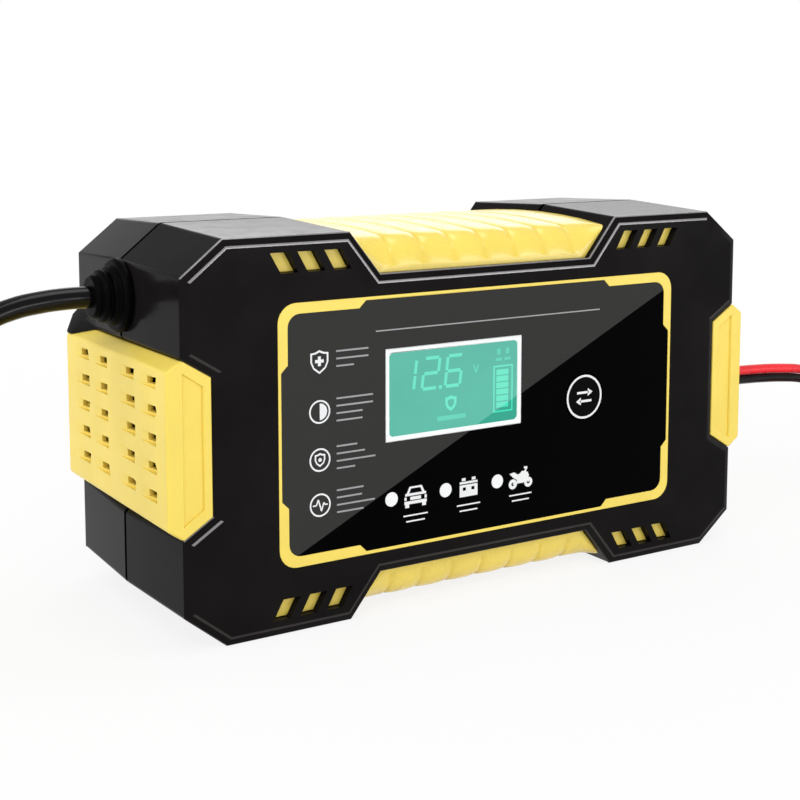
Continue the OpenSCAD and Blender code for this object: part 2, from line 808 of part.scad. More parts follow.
// Finned aluminium plates that the power devices are bolted to
module primary_heat_sink() {
    color("#c3c6ca") {
        box([-12, -8, 72], [20, main_y, 74]);
        for (x = [-11:6:19]) box([x, -8, 74], [x + 1.2, main_y, 76.5]);
    }
}
module output_heat_sink() {
    color("#c3c6ca") {
        box([36, -8, 28], [38, main_y, 66]);
        for (z = [29, 35, 59, 64.8]) box([38, -8, z], [40.4, main_y, z + 1.2]);
    }
}
module power_transistors() {
    color("#1a1a1c") {
        box([-2, -2, 67.5], [8.2, main_y - 4, 72]);
        box([31.5, -2, 46], [36, main_y - 4, 56.2]);
        for (x = [0.4, 3, 5.6]) box([x, main_y - 4, 69], [x + 0.8, main_y, 69.6]);
        for (z = [48.4, 51, 53.6]) box([33, main_y - 4, z], [33.6, main_y, z + 0.8]);
    }
}
module fuse() {
    color("#cfd6d8") {
        translate([-46, 15, 48]) cylinder(h = 20, r = 2.3);
        for (z = [47, 63]) translate([-46, 15, z]) cylinder(h = 5, r = 2.6);
        for (z = [49, 65]) box([-46.6, 15, z], [-45.4, main_y, z + 1]);
    }
}
module display_cable() {
    color("#d9d9d2") box([22, display_y + board_t, 68], [34, main_y, 68.6]);
}

// Axial fan behind the left end panel, drawn along Z and turned to blow along X
fan_bore = 19;
hub_r = 8;
shaft_r = 1;
module fan_place() {
    translate([fan_x, 0, mid_z]) rotate([0, 90, 0]) children();
}
module fan_frame() {
    color("#2a2a2d") fan_place() difference() {
        union() {
            difference() {
                translate([-fan_half, -fan_half, 0]) cube([2 * fan_half, 2 * fan_half, fan_t]);
                translate([0, 0, -1]) cylinder(h = fan_t + 2, r = fan_bore);
            }
            translate([0, 0, fan_t - 1.6]) cylinder(h = 1.6, r = hub_r);
            for (a = [45:90:315]) rotate(a) translate([hub_r - 1, -1, fan_t - 1.6]) cube([12.5, 2, 1.6]);
        }
        for (x = [-16, 16], y = [-16, 16]) translate([x, y, -1]) cylinder(h = fan_t + 2, r = 1.7);
        translate([0, 0, fan_t - 2]) cylinder(h = 3, r = shaft_r + 0.05);
    }
}
blade_count = 7;
module fan_rotor() {
    color("#3a3a3e") fan_place() {
        translate([0, 0, 0.8]) cylinder(h = 6.8, r = hub_r);
        translate([0, 0, 7.6]) cylinder(h = 2.2, r = shaft_r);
        for (i = [0:blade_count - 1])
            rotate(i * 360 / blade_count) translate([12.7, 0, 4.2]) rotate([35, 0, 0])
                cube([10.2, 9, 1], center = true);
    }
}

// Strain relief of the mains lead: inner lock, outer flange and a ribbed tapering boot
module mains_strain_relief() {
    out = -mains_end_x;
    wall_in = half_w - wall;
    wall_out = half_w + draft + 0.1;
    color(black) translate([0, 0, mains_z]) {
        rotate([0, -90, 0]) rotate_extrude() polygon([
            [0, 69.5], [5, 69.5], [5, wall_out], [8.5, wall_out], [8.5, wall_out + 1.2],
            [7.9, wall_out + 1.9], [6.8, wall_out + 1.9], [6.6, 84.6], [5.4, 84.8], [5.3, 85.4],
            [6.2, 85.6], [5.9, 86.6], [5, 86.8], [4.9, 87.3], [5.2, 87.5], [4.6, out], [0, out]
        ]);
        difference() {
            rotate([0, -90, 0]) rotate_extrude() polygon([
                [4.5, wall_in - 2.2], [6.5, wall_in - 2.2], [6.5, wall_in], [4.5, wall_in]
            ]);
            box([-half_w, -7, 4.9], [-70, 7, 7]);
        }
    }
}
module mains_cord() {
    color(black) tube(mains_route, mains_d, 10);
}
module mains_coil() {
    color(black) tube(mains_coil_path, mains_d, 6);
}
// Flat strap round a bundle of turns at a place on the coil: bundle width and height
module strap(width, height) {
    t = 0.8;
    rotate([90, 0, 0]) linear_extrude(4, center = true) difference() {
        translate([-width / 2 - t, 0]) square([width + 2 * t, height + 2 * t]);
        translate([-width / 2, t]) square([width, height]);
    }
}
module mains_tie() {
    color("#2b2b2e") translate(mains_centre) rotate(150)
        translate([mains_r - mains_pitch * mains_turns_in / 2 - 0.7, 0, 0])
            strap(mains_pitch * mains_turns_in + mains_d + 1, mains_lift + mains_d + 0.6);
}
// Flat two-pin plug lying on the coil, its pins pointing away from the case
plug_half = 17.5;
plug_t = 13.6;
plug_l = 40;
plug_face = plug_x - plug_l;
module mains_plug() {
    plan = concat(
        [[0, -4], [-8, -4.6], [-13, -6]], bend([-15, -6.8], [-19, -plug_half], [-30, -plug_half], 8),
        [[-plug_l, -plug_half + 1.5], [-plug_l, plug_half - 1.5]],
        bend([-30, plug_half], [-19, plug_half], [-15, 6.8], 8), [[-13, 6], [-8, 4.6], [0, 4]]
    );
    side = [
        [0, -4], [-13, -5.4], [-21, -plug_t / 2], [2 - plug_l, -plug_t / 2], [-plug_l, -plug_t / 2 + 1.5],
        [-plug_l, plug_t / 2 - 1.5], [2 - plug_l, plug_t / 2], [-21, plug_t / 2], [-13, 5.4], [0, 4]
    ];
    color(black) translate([plug_x, plug_y, plug_z]) intersection() {
        translate([0, 0, -plug_t]) linear_extrude(2 * plug_t) polygon(plan);
        slab(-plug_half - 1, plug_half + 1) polygon(side);
    }
}
pin_spacing = 19;
plug_pin_r = 2;
plug_pin_l = 19;
module mains_plug_pins() {
    color(steel) for (side = [-1, 1])
        translate([plug_face - plug_pin_l, plug_y + side * pin_spacing / 2, plug_z]) rotate([0, 90, 0])
            cylinder(h = plug_pin_l, r = plug_pin_r);
}

module dc_grommet() {
    color(black) translate([0, 0, dc_z]) rotate([0, 90, 0]) rotate_extrude() polygon([
        [0, panel_x - panel_wall - 1.5], [grommet_r + 0.8, panel_x - panel_wall - 1.5],
        [grommet_r + 0.8, panel_x - panel_wall], [grommet_r, panel_x - panel_wall], [grommet_r, panel_x],
        [grommet_r + 1.4, panel_x], [grommet_r + 1.4, panel_x + 1.2], [grommet_r + 0.6, panel_x + 1.8],
        [grommet_r - 0.6, dc_end_x], [0, dc_end_x]
    ]);
}
module red_lead() {
    color(red) tube(lead_run(1), lead_d, 8);
}
module black_lead() {
    color(black) tube(lead_run(-1), lead_d, 8);
}
module red_coil() {
    color(red) tube(lead_coil(1), lead_d, 6);
}
module black_coil() {
    color(black) tube(lead_coil(-1), lead_d, 6);
}
module lead_tie() {
    color("#2b2b2e") translate(lead_centre) rotate(-30)
        translate([lead_r - lead_pitch * lead_turns_in / 2 - 0.95, 0, 0])
            strap(lead_pitch * lead_turns_in + lead_d + 0.8, lead_lift + lead_gap + lead_d + 0.6);
}

// Battery clip, drawn round its pivot with the moving half towards +Y
ear_t = 1.8;
ear_gap = 0.3;
module clip_place(side) {
    translate([pivot_x, side * pivot_y, 0]) mirror([0, side > 0 ? 0 : 1, 0]) children();
}
// One half of the body, with its ears starting at the given height from each side
module clip_half(ear_low, hole_r) {
    difference() {
        union() {
            difference() {
                linear_extrude(clip_t) polygon(clip_outline);
                translate([0, 0, -1]) cylinder(h = clip_t + 2, r = ear_room);
                box([-9.3, -1, clip_mid - 2.9], [0, 5.3, clip_mid + 2.9]);
                for (x = [-34:3.2:-21]) translate([x, 15.9, -1]) cylinder(h = clip_t + 2, r = 1);
            }
            for (z = [ear_low, clip_t - ear_low - ear_t]) translate([0, 0, z]) {
                cylinder(h = ear_t, r = ear_r);
                translate([-5, 0, 0]) cube([10, 8, ear_t]);
            }
        }
        translate([0, 0, -1]) cylinder(h = clip_t + 2, r = hole_r);
    }
}
module clip_teeth() {
    translate([0, 0, 2]) linear_extrude(clip_t - 4) polygon(teeth_outline);
}
module red_clip_fixed() {
    color(red) clip_place(1) mirror([0, 1, 0]) clip_half(0, pin_r);
}
module red_clip_moving() {
    color(red) clip_place(1) clip_half(ear_t + ear_gap, pin_r + 0.06);
}
module red_clip_fixed_teeth() {
    color(copper) clip_place(1) mirror([0, 1, 0]) clip_teeth();
}
module red_clip_moving_teeth() {
    color(copper) clip_place(1) clip_teeth();
}
module red_clip_spring() {
    color(steel) clip_place(1) tube(spring_path, spring_d, 6);
}
module black_clip_fixed() {
    color(black) clip_place(-1) mirror([0, 1, 0]) clip_half(0, pin_r);
}
module black_clip_moving() {
    color(black) clip_place(-1) clip_half(ear_t + ear_gap, pin_r + 0.06);
}
module black_clip_fixed_teeth() {
    color(copper) clip_place(-1) mirror([0, 1, 0]) clip_teeth();
}
module black_clip_moving_teeth() {
    color(copper) clip_place(-1) clip_teeth();
}
module black_clip_spring() {
    color(steel) clip_place(-1) tube(spring_path, spring_d, 6);
}
module clip_pins() {
    color(steel) for (side = [-1, 1]) clip_place(side) cylinder(h = clip_t, r = pin_r);
}

front_shell();
rear_shell();
top_grip();
bottom_grip();
left_vent_panel();
right_vent_panel();
corner_accents();
label_border();
front_label();
lcd_bezel();
lcd_glass();
lcd_backlight();
display_board();
mode_button();
mode_switch();
indicator_lenses();
indicator_leds();
case_screws();
board_screws();
display_screws();
main_board();
transformer_core();
transformer_winding();
bulk_capacitor();
output_capacitors();
line_capacitor();
line_choke();
output_choke();
bridge_rectifier();
primary_heat_sink();
output_heat_sink();
power_transistors();
fuse();
display_cable();
fan_frame();
fan_rotor();
mains_strain_relief();
mains_cord();
mains_coil();
mains_tie();
mains_plug();
mains_plug_pins();
dc_grommet();
red_lead();
black_lead();
red_coil();
black_coil();
lead_tie();
red_clip_fixed();
red_clip_moving();
red_clip_fixed_teeth();
red_clip_moving_teeth();
red_clip_spring();
black_clip_fixed();
black_clip_moving();
black_clip_fixed_teeth();
black_clip_moving_teeth();
black_clip_spring();
clip_pins();
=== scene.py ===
"""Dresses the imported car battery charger: camera, leads, materials, print, display and studio."""

import json
import math

import bmesh
import bpy
from mathutils import Matrix, Vector


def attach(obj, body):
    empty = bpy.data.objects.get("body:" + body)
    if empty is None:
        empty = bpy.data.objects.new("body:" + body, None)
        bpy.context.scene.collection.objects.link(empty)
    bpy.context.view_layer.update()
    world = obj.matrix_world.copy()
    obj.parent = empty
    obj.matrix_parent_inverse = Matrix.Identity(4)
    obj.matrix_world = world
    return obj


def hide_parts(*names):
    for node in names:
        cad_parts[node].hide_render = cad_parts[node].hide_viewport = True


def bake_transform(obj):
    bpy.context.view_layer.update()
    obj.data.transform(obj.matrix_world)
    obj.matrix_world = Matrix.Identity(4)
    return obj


MM = 0.001
ROOT = "charger"

# Camera, from the photograph's frame of 800 by 800 pixels
IMAGE_PX = 800
FOCAL_PX = 1459.06
PRINCIPAL_ROW_PX = 260
SENSOR_MM = 36
AZIMUTH = math.radians(-31.96)
ELEVATION = math.radians(6.42)
EYE_MM = (-201.4, -313.0, 120.2)
NEAREST_SEEN_M = 0.01

# Case planes and places, in millimetres, as in the part's source
FRONT_Y = -31.4
MID_Z = 45
LCD_CENTRE = (-10.1, 51.5)
LCD_INNER = (36.6, 19.6)
LCD_Y = -30.9
BUTTON_CENTRE = (28.9, 45)
BUTTON_Y = -31.4

# The slanting line on the label and the display: its height at x = 0, and its slope
SPLIT_Z = 43.5
SPLIT_SLOPE = 0.49

# Leads, as in the part's source, in millimetres, turns and degrees
MAINS_D = 5.0
MAINS_ROUTE = [
    (-88.5, 0, 75.2), (-94, 0, 75.2), (-100, 0, 74.8), (-106, -0.3, 73.9), (-112, -1.2, 72),
    (-118, -3.6, 68), (-123, -7.4, 61.6), (-126.4, -11.6, 52), (-129.2, -15.8, 39), (-132, -20, 26),
    (-135, -24, 15.5), (-140, -28, 8.5), (-147, -30.7, 4.8), (-154, -31.7, 3.3), (-159, -31.7, 3.3),
]
MAINS_CENTRE = (-164, 0)
MAINS_RADIUS = 31.7
MAINS_PITCH = 5.7
MAINS_LIFT = 5.6
MAINS_TURNS_IN = 2
MAINS_TURNS_OUT = 2 + 1 / 6
MAINS_START = -90
MAINS_LEAVE = 30
RETURN_RADIUS = 20
CLIMB_RINGS = 8
RETURN_RINGS = 8
PLUG_X = -159
PLUG_Z = 18.4
LEAD_D = 2.8
LEAD_GAP = 2.82
LEAD_ROUTE = [
    (88, 0, 37.2), (96, 0, 37.2), (105, 0, 37), (114, 0, 36.7), (123, 0, 36.3), (132, 0, 35.6),
    (141, 0.2, 34.3), (146, 0.8, 32.6), (149.6, 1.5, 29), (151.1, 2.2, 24), (151.6, 2.8, 18.5),
    (152.4, 3.2, 13), (154.4, 3.5, 8.4), (158, 3.5, 5), (161.4, 3.5, 3.8), (164.2, 3.5, 3.8),
]
# From coil to clip: x, then y and z, each with what the upper core adds and the lower one takes away
LEAD_TAIL = [(176, (1.8, 0.5), (9.9, 1.4)), (184, (1, 2.2), (8.8, 0.6)), (190, (0.2, 4.6), (7.4, 0))]
LEAD_CENTRE = (167, -15)
LEAD_RADIUS = 18.5
LEAD_PITCH = 3.6
LEAD_LIFT = 6.2
LEAD_TURNS_IN = 2
LEAD_TURNS_OUT = 1.5
LEAD_START = 90
CLIP_END_X = 197
CLIP_CORE_Y = 5.3
CLIP_MID_Z = 7
CLIP_PIVOT = (234, 18)
SPRING_D = 1.0
SPRING_RADIUS = 3.4
SPRING_PITCH = 1.5
SPRING_CURLS = 2.5
SPRING_LEG = [(-22, 7.65), (-21, 7.45), (-11, 4.5), (-4, 3.6)]
SPRING_LOW = CLIP_MID_Z - SPRING_CURLS * SPRING_PITCH / 2
SPRING_HIGH = CLIP_MID_Z + SPRING_CURLS * SPRING_PITCH / 2
CLIMB_TURN = 0.5
COIL_DIP = 0.8
RINGS = 24
TUBE_STEPS = 5

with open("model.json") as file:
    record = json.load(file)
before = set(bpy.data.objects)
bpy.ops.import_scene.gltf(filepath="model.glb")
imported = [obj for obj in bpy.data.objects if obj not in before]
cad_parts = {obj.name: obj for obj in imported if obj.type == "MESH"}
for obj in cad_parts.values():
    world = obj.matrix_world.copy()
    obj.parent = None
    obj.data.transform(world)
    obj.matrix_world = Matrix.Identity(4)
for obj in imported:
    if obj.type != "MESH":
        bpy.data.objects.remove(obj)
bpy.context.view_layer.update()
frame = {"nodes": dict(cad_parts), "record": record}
nodes = frame["nodes"]
scene = bpy.context.scene
scene.view_settings.view_transform = "Standard"


def srgb(red, green, blue):
    """A colour given as it looks on screen, 0 to 255, as linear light."""
    def linear(value):
        value /= 255
        return value / 12.92 if value <= 0.04045 else ((value + 0.055) / 1.055) ** 2.4
    return (linear(red), linear(green), linear(blue), 1)


def add_object(name, data):
    obj = bpy.data.objects.new(name, data)
    scene.collection.objects.link(obj)
    return obj


# Camera


def add_camera():
    data = bpy.data.cameras.new("photo_view")
    data.sensor_width = SENSOR_MM
    data.lens = FOCAL_PX / IMAGE_PX * SENSOR_MM
    data.shift_y = (PRINCIPAL_ROW_PX - IMAGE_PX / 2) / IMAGE_PX
    data.clip_start = NEAREST_SEEN_M
    camera = add_object("photo_view", data)
    turn = Matrix.Rotation(AZIMUTH, 4, "Z") @ Matrix.Rotation(math.pi / 2 - ELEVATION, 4, "X")
    camera.matrix_world = Matrix.Translation(Vector(EYE_MM) * MM) @ turn
    scene.camera = camera


# Leads


def smooth(s):
    return s * s * (3 - 2 * s)


def coil_path(centre, z, start, radius, pitch, lift, turns_in, turns):
    """Rings of a coil that winds in, climbs a layer in half a turn and winds out again."""
    path = []
    for ring in range(round(turns * RINGS) + 1):
        t = ring / RINGS
        if t < turns_in:
            r = radius - pitch * t
        elif t < turns_in + CLIMB_TURN:
            dip = COIL_DIP * math.sin(math.pi * (t - turns_in) / CLIMB_TURN)
            r = radius - pitch * turns_in - dip
        else:
            r = radius - pitch * turns_in + pitch * (t - turns_in - CLIMB_TURN)
        angle = math.radians(start - 360 * t)
        height = lift * smooth(min(max((t - turns_in) / CLIMB_TURN, 0), 1))
        path.append((centre[0] + r * math.cos(angle), centre[1] + r * math.sin(angle), z + height))
    return path


def mains_path():
    """The mains lead from its boot, through its coil and back over the top to the plug."""
    rest = MAINS_ROUTE[-1][2]
    turns = MAINS_TURNS_IN + CLIMB_TURN + MAINS_TURNS_OUT
    loops = coil_path(
        MAINS_CENTRE, rest, MAINS_START, MAINS_RADIUS, MAINS_PITCH, MAINS_LIFT, MAINS_TURNS_IN, turns
    )

    def climb(ring):
        return (PLUG_Z - rest - MAINS_LIFT) * smooth(ring / (CLIMB_RINGS + RETURN_RINGS))

    first = len(loops) - 1 - CLIMB_RINGS
    path = [(x, y, z + climb(max(i - first, 0))) for i, (x, y, z) in enumerate(loops)]
    end_radius = MAINS_RADIUS + MAINS_PITCH * (MAINS_TURNS_OUT - MAINS_TURNS_IN)
    leave = math.radians(MAINS_LEAVE)
    centre_x = MAINS_CENTRE[0] + (end_radius - RETURN_RADIUS) * math.cos(leave)
    centre_y = MAINS_CENTRE[1] + (end_radius - RETURN_RADIUS) * math.sin(leave)
    for ring in range(1, RETURN_RINGS + 1):
        angle = leave - (math.pi / 2 + leave) * ring / RETURN_RINGS
        path.append((
            centre_x + RETURN_RADIUS * math.cos(angle),
            centre_y + RETURN_RADIUS * math.sin(angle),
            rest + MAINS_LIFT + climb(CLIMB_RINGS + ring),
        ))
    path.append((PLUG_X, centre_y - RETURN_RADIUS, PLUG_Z))
    return MAINS_ROUTE + path


def raised(route, distance):
    """The route moved sideways in its own upright plane."""
    moved = []
    for i, point in enumerate(route):
        ahead = Vector(route[min(i + 1, len(route) - 1)])
        behind = Vector(route[max(i - 1, 0)])
        along = (ahead - behind).normalized()
        across = along.cross((0, 0, 1)).normalized()
        moved.append(tuple(Vector(point) + distance * across.cross(along)))
    return moved


def lead_path(up):
    """One core of the output lead, the upper one for 1 and the lower one for -1."""
    turns = LEAD_TURNS_IN + CLIMB_TURN + LEAD_TURNS_OUT
    rest = LEAD_ROUTE[-1][2] + up * LEAD_GAP / 2
    loops = coil_path(
        LEAD_CENTRE, rest, LEAD_START, LEAD_RADIUS, LEAD_PITCH, LEAD_LIFT, LEAD_TURNS_IN, turns
    )
    tail = [(x, y + up * more_y, z + up * more_z) for x, (y, more_y), (z, more_z) in LEAD_TAIL]
    for x in (CLIP_END_X - LEAD_D, CLIP_END_X):
        tail.append((x, up * CLIP_CORE_Y, CLIP_MID_Z))
    return raised(LEAD_ROUTE, up * LEAD_GAP / 2) + loops + tail


def tube_curve(name, path, diameter):
    """A round tube along the points, as one smooth open curve."""
    data = bpy.data.curves.new(name, "CURVE")
    data.dimensions = "3D"
    data.bevel_depth = diameter / 2 * MM
    data.bevel_resolution = TUBE_STEPS
    data.resolution_u = TUBE_STEPS
    data.use_fill_caps = True
    spline = data.splines.new("BEZIER")
    spline.bezier_points.add(len(path) - 1)
    for knot, place in zip(spline.bezier_points, path):
        knot.co = Vector(place) * MM
        knot.handle_left_type = "AUTO"
        knot.handle_right_type = "AUTO"
    return data


def add_lead(name, path, diameter, material, replaced, pieces):
    data = tube_curve(name, path, diameter)
    data.materials.append(material)
    lead = add_object(name, data)
    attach(lead, ROOT)
    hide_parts(*replaced)
    bpy.context.view_layer.update()
    return lead


def spring_path(side):
    """A clip's torsion spring: a leg on the moving half, curls round the pin, a leg on the fixed one."""
    path = [(x, y, SPRING_LOW) for x, y in SPRING_LEG]
    for ring in range(round(SPRING_CURLS * RINGS) + 1):
        t = ring / RINGS
        angle = math.radians(90 - 360 * t)
        x = SPRING_RADIUS * math.cos(angle)
        y = SPRING_RADIUS * math.sin(angle)
        path.append((x, y, SPRING_LOW + SPRING_PITCH * t))
    path += [(x, -y, SPRING_HIGH) for x, y in reversed(SPRING_LEG)]
    return [(CLIP_PIVOT[0] + x, side * (CLIP_PIVOT[1] + y), z) for x, y, z in path]


def add_spring(colour, side, material):
    """The spring as a mesh, made from a curve along its legs and turns."""
    curve = add_object(f"{colour}_spring_curve", tube_curve("spring", spring_path(side), SPRING_D))
    seen = curve.evaluated_get(bpy.context.evaluated_depsgraph_get())
    data = bpy.data.meshes.new_from_object(seen)
    bpy.data.objects.remove(curve)
    data.materials.clear()
    data.materials.append(material)
    spring = add_object(f"{colour}_spring", data)
    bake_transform(spring)
    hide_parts(f"{colour}_clip_spring")
    return spring


def named(*names):
    return [nodes[name] for name in names]


def clip_pieces(colour, side, paint):
    parts = ("fixed", "moving", "fixed_teeth", "moving_teeth")
    spring = add_spring(colour, side, paint["steel"])
    return named(*[f"{colour}_clip_{part}" for part in parts]) + [spring]


def add_leads(paint):
    mains = add_lead(
        "mains_lead", mains_path(), MAINS_D, paint["black_cord"], ["mains_cord", "mains_coil"],
        named("mains_strain_relief", "mains_plug", "mains_plug_pins", "mains_tie"),
    )
    red = add_lead(
        "red_core", lead_path(1), LEAD_D, paint["red_cord"], ["red_lead", "red_coil"],
        clip_pieces("red", 1, paint) + named("dc_grommet", "lead_tie", "clip_pins"),
    )
    black = add_lead(
        "black_core", lead_path(-1), LEAD_D, paint["black_cord"], ["black_lead", "black_coil"],
        clip_pieces("black", -1, paint),
    )


# Materials

EVEN = (1, 1, 1)
LEAST_ROUGHNESS = 0.02
# Windings: the wave texture's scale times its period, and how much darker the painted shade in the gaps
# between turns is
WAVE_PER_PITCH = 0.31
GAP_SHADE_SHARE = 0.55


class Nodes:
    """A node tree under construction."""

    def __init__(self, tree):
        self.tree = tree

    def node(self, kind, **values):
        made = self.tree.nodes.new(kind)
        for key, value in values.items():
            setattr(made, key, value)
        return made

    def link(self, source, target):
        self.tree.links.new(source, target)

    def math(self, operation, first, second):
        made = self.node("ShaderNodeMath", operation=operation)
        for socket, value in zip(made.inputs, (first, second)):
            if isinstance(value, (int, float)):
                socket.default_value = value
            else:
                self.link(value, socket)
        return made.outputs["Value"]

    def remap(self, value, start, end, low, high, course="SMOOTHSTEP"):
        """The value carried over from one span to another, and held at its ends."""
        made = self.node("ShaderNodeMapRange", interpolation_type=course)
        for name, number in (("From Min", start), ("From Max", end), ("To Min", low), ("To Max", high)):
            made.inputs[name].default_value = number
        self.link(value, made.inputs["Value"])
        return made.outputs["Result"]


class Paint(Nodes):
    """A node material under construction: one shader, with textures sized in millimetres."""

    def __init__(self, name, colour, roughness, specular=0.5, metallic=0.0):
        self.material = bpy.data.materials.new(name)
        self.material.use_nodes = True
        super().__init__(self.material.node_tree)
        self.shader = self.tree.nodes["Principled BSDF"]
        self.colour = colour
        self.roughness = roughness
        self.shader.inputs["Base Color"].default_value = colour
        self.shader.inputs["Roughness"].default_value = roughness
        self.shader.inputs["Specular IOR Level"].default_value = specular
        self.shader.inputs["Metallic"].default_value = metallic
        self.place = self.node("ShaderNodeTexCoord").outputs["Object"]

    def noise(self, grain_mm, detail=3.0, stretch=EVEN):
        """Noise with lumps of about the given size."""
        place = self.place
        if stretch != EVEN:
            mapping = self.node("ShaderNodeMapping")
            mapping.inputs["Scale"].default_value = stretch
            self.link(self.place, mapping.inputs["Vector"])
            place = mapping.outputs["Vector"]
        texture = self.node("ShaderNodeTexNoise")
        texture.inputs["Scale"].default_value = 1 / (grain_mm * MM)
        texture.inputs["Detail"].default_value = detail
        self.link(place, texture.inputs["Vector"])
        return texture.outputs["Fac"]

    def ramp(self, factor, low, high, start=0.35, end=0.65):
        made = self.node("ShaderNodeValToRGB")
        made.color_ramp.elements[0].position = start
        made.color_ramp.elements[0].color = low
        made.color_ramp.elements[1].position = end
        made.color_ramp.elements[1].color = high
        self.link(factor, made.inputs["Fac"])
        return made.outputs["Color"]

    def over_split(self, below, above):
        """One colour below the slanting line and another above it."""
        parts = self.node("ShaderNodeSeparateXYZ")
        self.link(self.place, parts.inputs["Vector"])
        line = self.math("MULTIPLY", parts.outputs["X"], SPLIT_SLOPE)
        side = self.math("SUBTRACT", parts.outputs["Z"], line)
        upper = self.math("GREATER_THAN", side, SPLIT_Z * MM)
        return self.ramp(upper, below, above)

    def mottle(self, grain_mm, amount):
        """Lets the colour wander a little in lightness."""
        low = [c * (1 - amount) for c in self.colour[:3]] + [1]
        high = [min(c * (1 + amount), 1) for c in self.colour[:3]] + [1]
        self.link(self.ramp(self.noise(grain_mm), low, high), self.shader.inputs["Base Color"])
        return self

    def uneven_gloss(self, grain_mm, spread):
        """Lets the roughness wander by the spread."""
        low = [max(self.roughness - spread, LEAST_ROUGHNESS)] * 3 + [1]
        high = [min(self.roughness + spread, 1)] * 3 + [1]
        self.link(self.ramp(self.noise(grain_mm, detail=4), low, high), self.shader.inputs["Roughness"])
        return self

    def bump(self, height, depth_mm, strength=1.0):
        made = self.node("ShaderNodeBump")
        made.inputs["Strength"].default_value = strength
        made.inputs["Distance"].default_value = depth_mm * MM
        self.link(height, made.inputs["Height"])
        self.link(made.outputs["Normal"], self.shader.inputs["Normal"])
        return self

    def grain(self, grain_mm, depth_mm, strength=1.0, stretch=EVEN):
        """Fine bumps of about the given size and depth."""
        return self.bump(self.noise(grain_mm, detail=2, stretch=stretch), depth_mm, strength)


def moulded(name, colour, roughness, specular, grain_mm=0.5, depth_mm=0.02, mottle=0.08):
    """Injection-moulded plastic with a fine eroded texture."""
    paint = Paint(name, colour, roughness, specular)
    paint.mottle(grain_mm=14, amount=mottle).uneven_gloss(grain_mm=6, spread=0.04)
    paint.grain(grain_mm, depth_mm)
    return paint.material


def cable_sheath(name, colour, roughness, specular):
    """Soft extruded sheath, a little uneven along its length."""
    paint = Paint(name, colour, roughness, specular)
    paint.mottle(grain_mm=9, amount=0.12).uneven_gloss(grain_mm=3, spread=0.04)
    paint.grain(grain_mm=0.9, depth_mm=0.008)
    return paint.material


def metal(name, colour, roughness, stretch=EVEN):
    """Plated or rolled metal, with its grain drawn out where it is stretched."""
    paint = Paint(name, colour, roughness, metallic=1.0)
    paint.mottle(grain_mm=5, amount=0.1).uneven_gloss(grain_mm=1.5, spread=0.08)
    paint.grain(grain_mm=0.35, depth_mm=0.006, strength=0.6, stretch=stretch)
    return paint.material


def circuit_board(name):
    """Green board with a grid of lighter tracks."""
    paint = Paint(name, srgb(24, 92, 52), roughness=0.35)
    traces = paint.node("ShaderNodeTexBrick")
    traces.inputs["Scale"].default_value = 160
    traces.inputs["Color1"].default_value = srgb(22, 84, 48)
    traces.inputs["Color2"].default_value = srgb(30, 104, 60)
    traces.inputs["Mortar"].default_value = srgb(48, 128, 74)
    traces.inputs["Mortar Size"].default_value = 0.03
    turned = paint.node("ShaderNodeMapping")
    turned.inputs["Rotation"].default_value = (math.pi / 2, 0, 0)
    paint.link(paint.place, turned.inputs["Vector"])
    paint.link(turned.outputs["Vector"], traces.inputs["Vector"])
    paint.link(traces.outputs["Color"], paint.shader.inputs["Base Color"])
    paint.bump(traces.outputs["Fac"], depth_mm=0.03, strength=0.5)
    return paint.material


def wound(name, colour, pitch_mm):
    """Turns of enamelled wire or tape, drawn as ridges along Y, with painted shade in the gaps between
    them.
    """
    paint = Paint(name, colour, roughness=0.35)
    wave = paint.node("ShaderNodeTexWave", bands_direction="Y")
    wave.inputs["Scale"].default_value = WAVE_PER_PITCH / (pitch_mm * MM)
    wave.inputs["Distortion"].default_value = 0.4
    paint.link(paint.place, wave.inputs["Vector"])
    # Painted shade in the gaps between turns
    painted_gap_shade = [c * GAP_SHADE_SHARE for c in colour[:3]] + [1]
    turns = paint.ramp(wave.outputs["Fac"], painted_gap_shade, colour, start=0.1, end=0.7)
    paint.link(turns, paint.shader.inputs["Base Color"])
    paint.bump(wave.outputs["Fac"], depth_mm=0.15)
    return paint.material


def label_sheet(name):
    """Printed sheet: charcoal above the slanting line, black below it, under a clear gloss."""
    paint = Paint(name, srgb(0, 0, 0), roughness=0.14, specular=0.015)
    paint.link(paint.over_split(srgb(2, 2, 3), srgb(56, 56, 55)), paint.shader.inputs["Base Color"])
    paint.grain(grain_mm=3, depth_mm=0.004, strength=0.3)
    return paint.material


def glowing(name, below, above):
    """A backlit surface, a little cloudy, in one colour below the slanting line and another above."""
    paint = Paint(name, (0.01, 0.02, 0.02, 1), roughness=0.25, specular=0.2)
    cloud = paint.ramp(paint.noise(grain_mm=12), (0.9, 0.9, 0.9, 1), (1, 1, 1, 1), start=0.2, end=0.8)
    tint = paint.node("ShaderNodeVectorMath", operation="MULTIPLY")
    paint.link(paint.over_split(below, above), tint.inputs[0])
    paint.link(cloud, tint.inputs[1])
    paint.link(tint.outputs["Vector"], paint.shader.inputs["Emission Color"])
    paint.shader.inputs["Emission Strength"].default_value = 1
    return paint.material


def clear(name, colour, roughness):
    """Glass that lets part of the light through."""
    paint = Paint(name, colour, roughness)
    paint.shader.inputs["Transmission Weight"].default_value = 0.6
    paint.mottle(grain_mm=2, amount=0.05)
    return paint.material


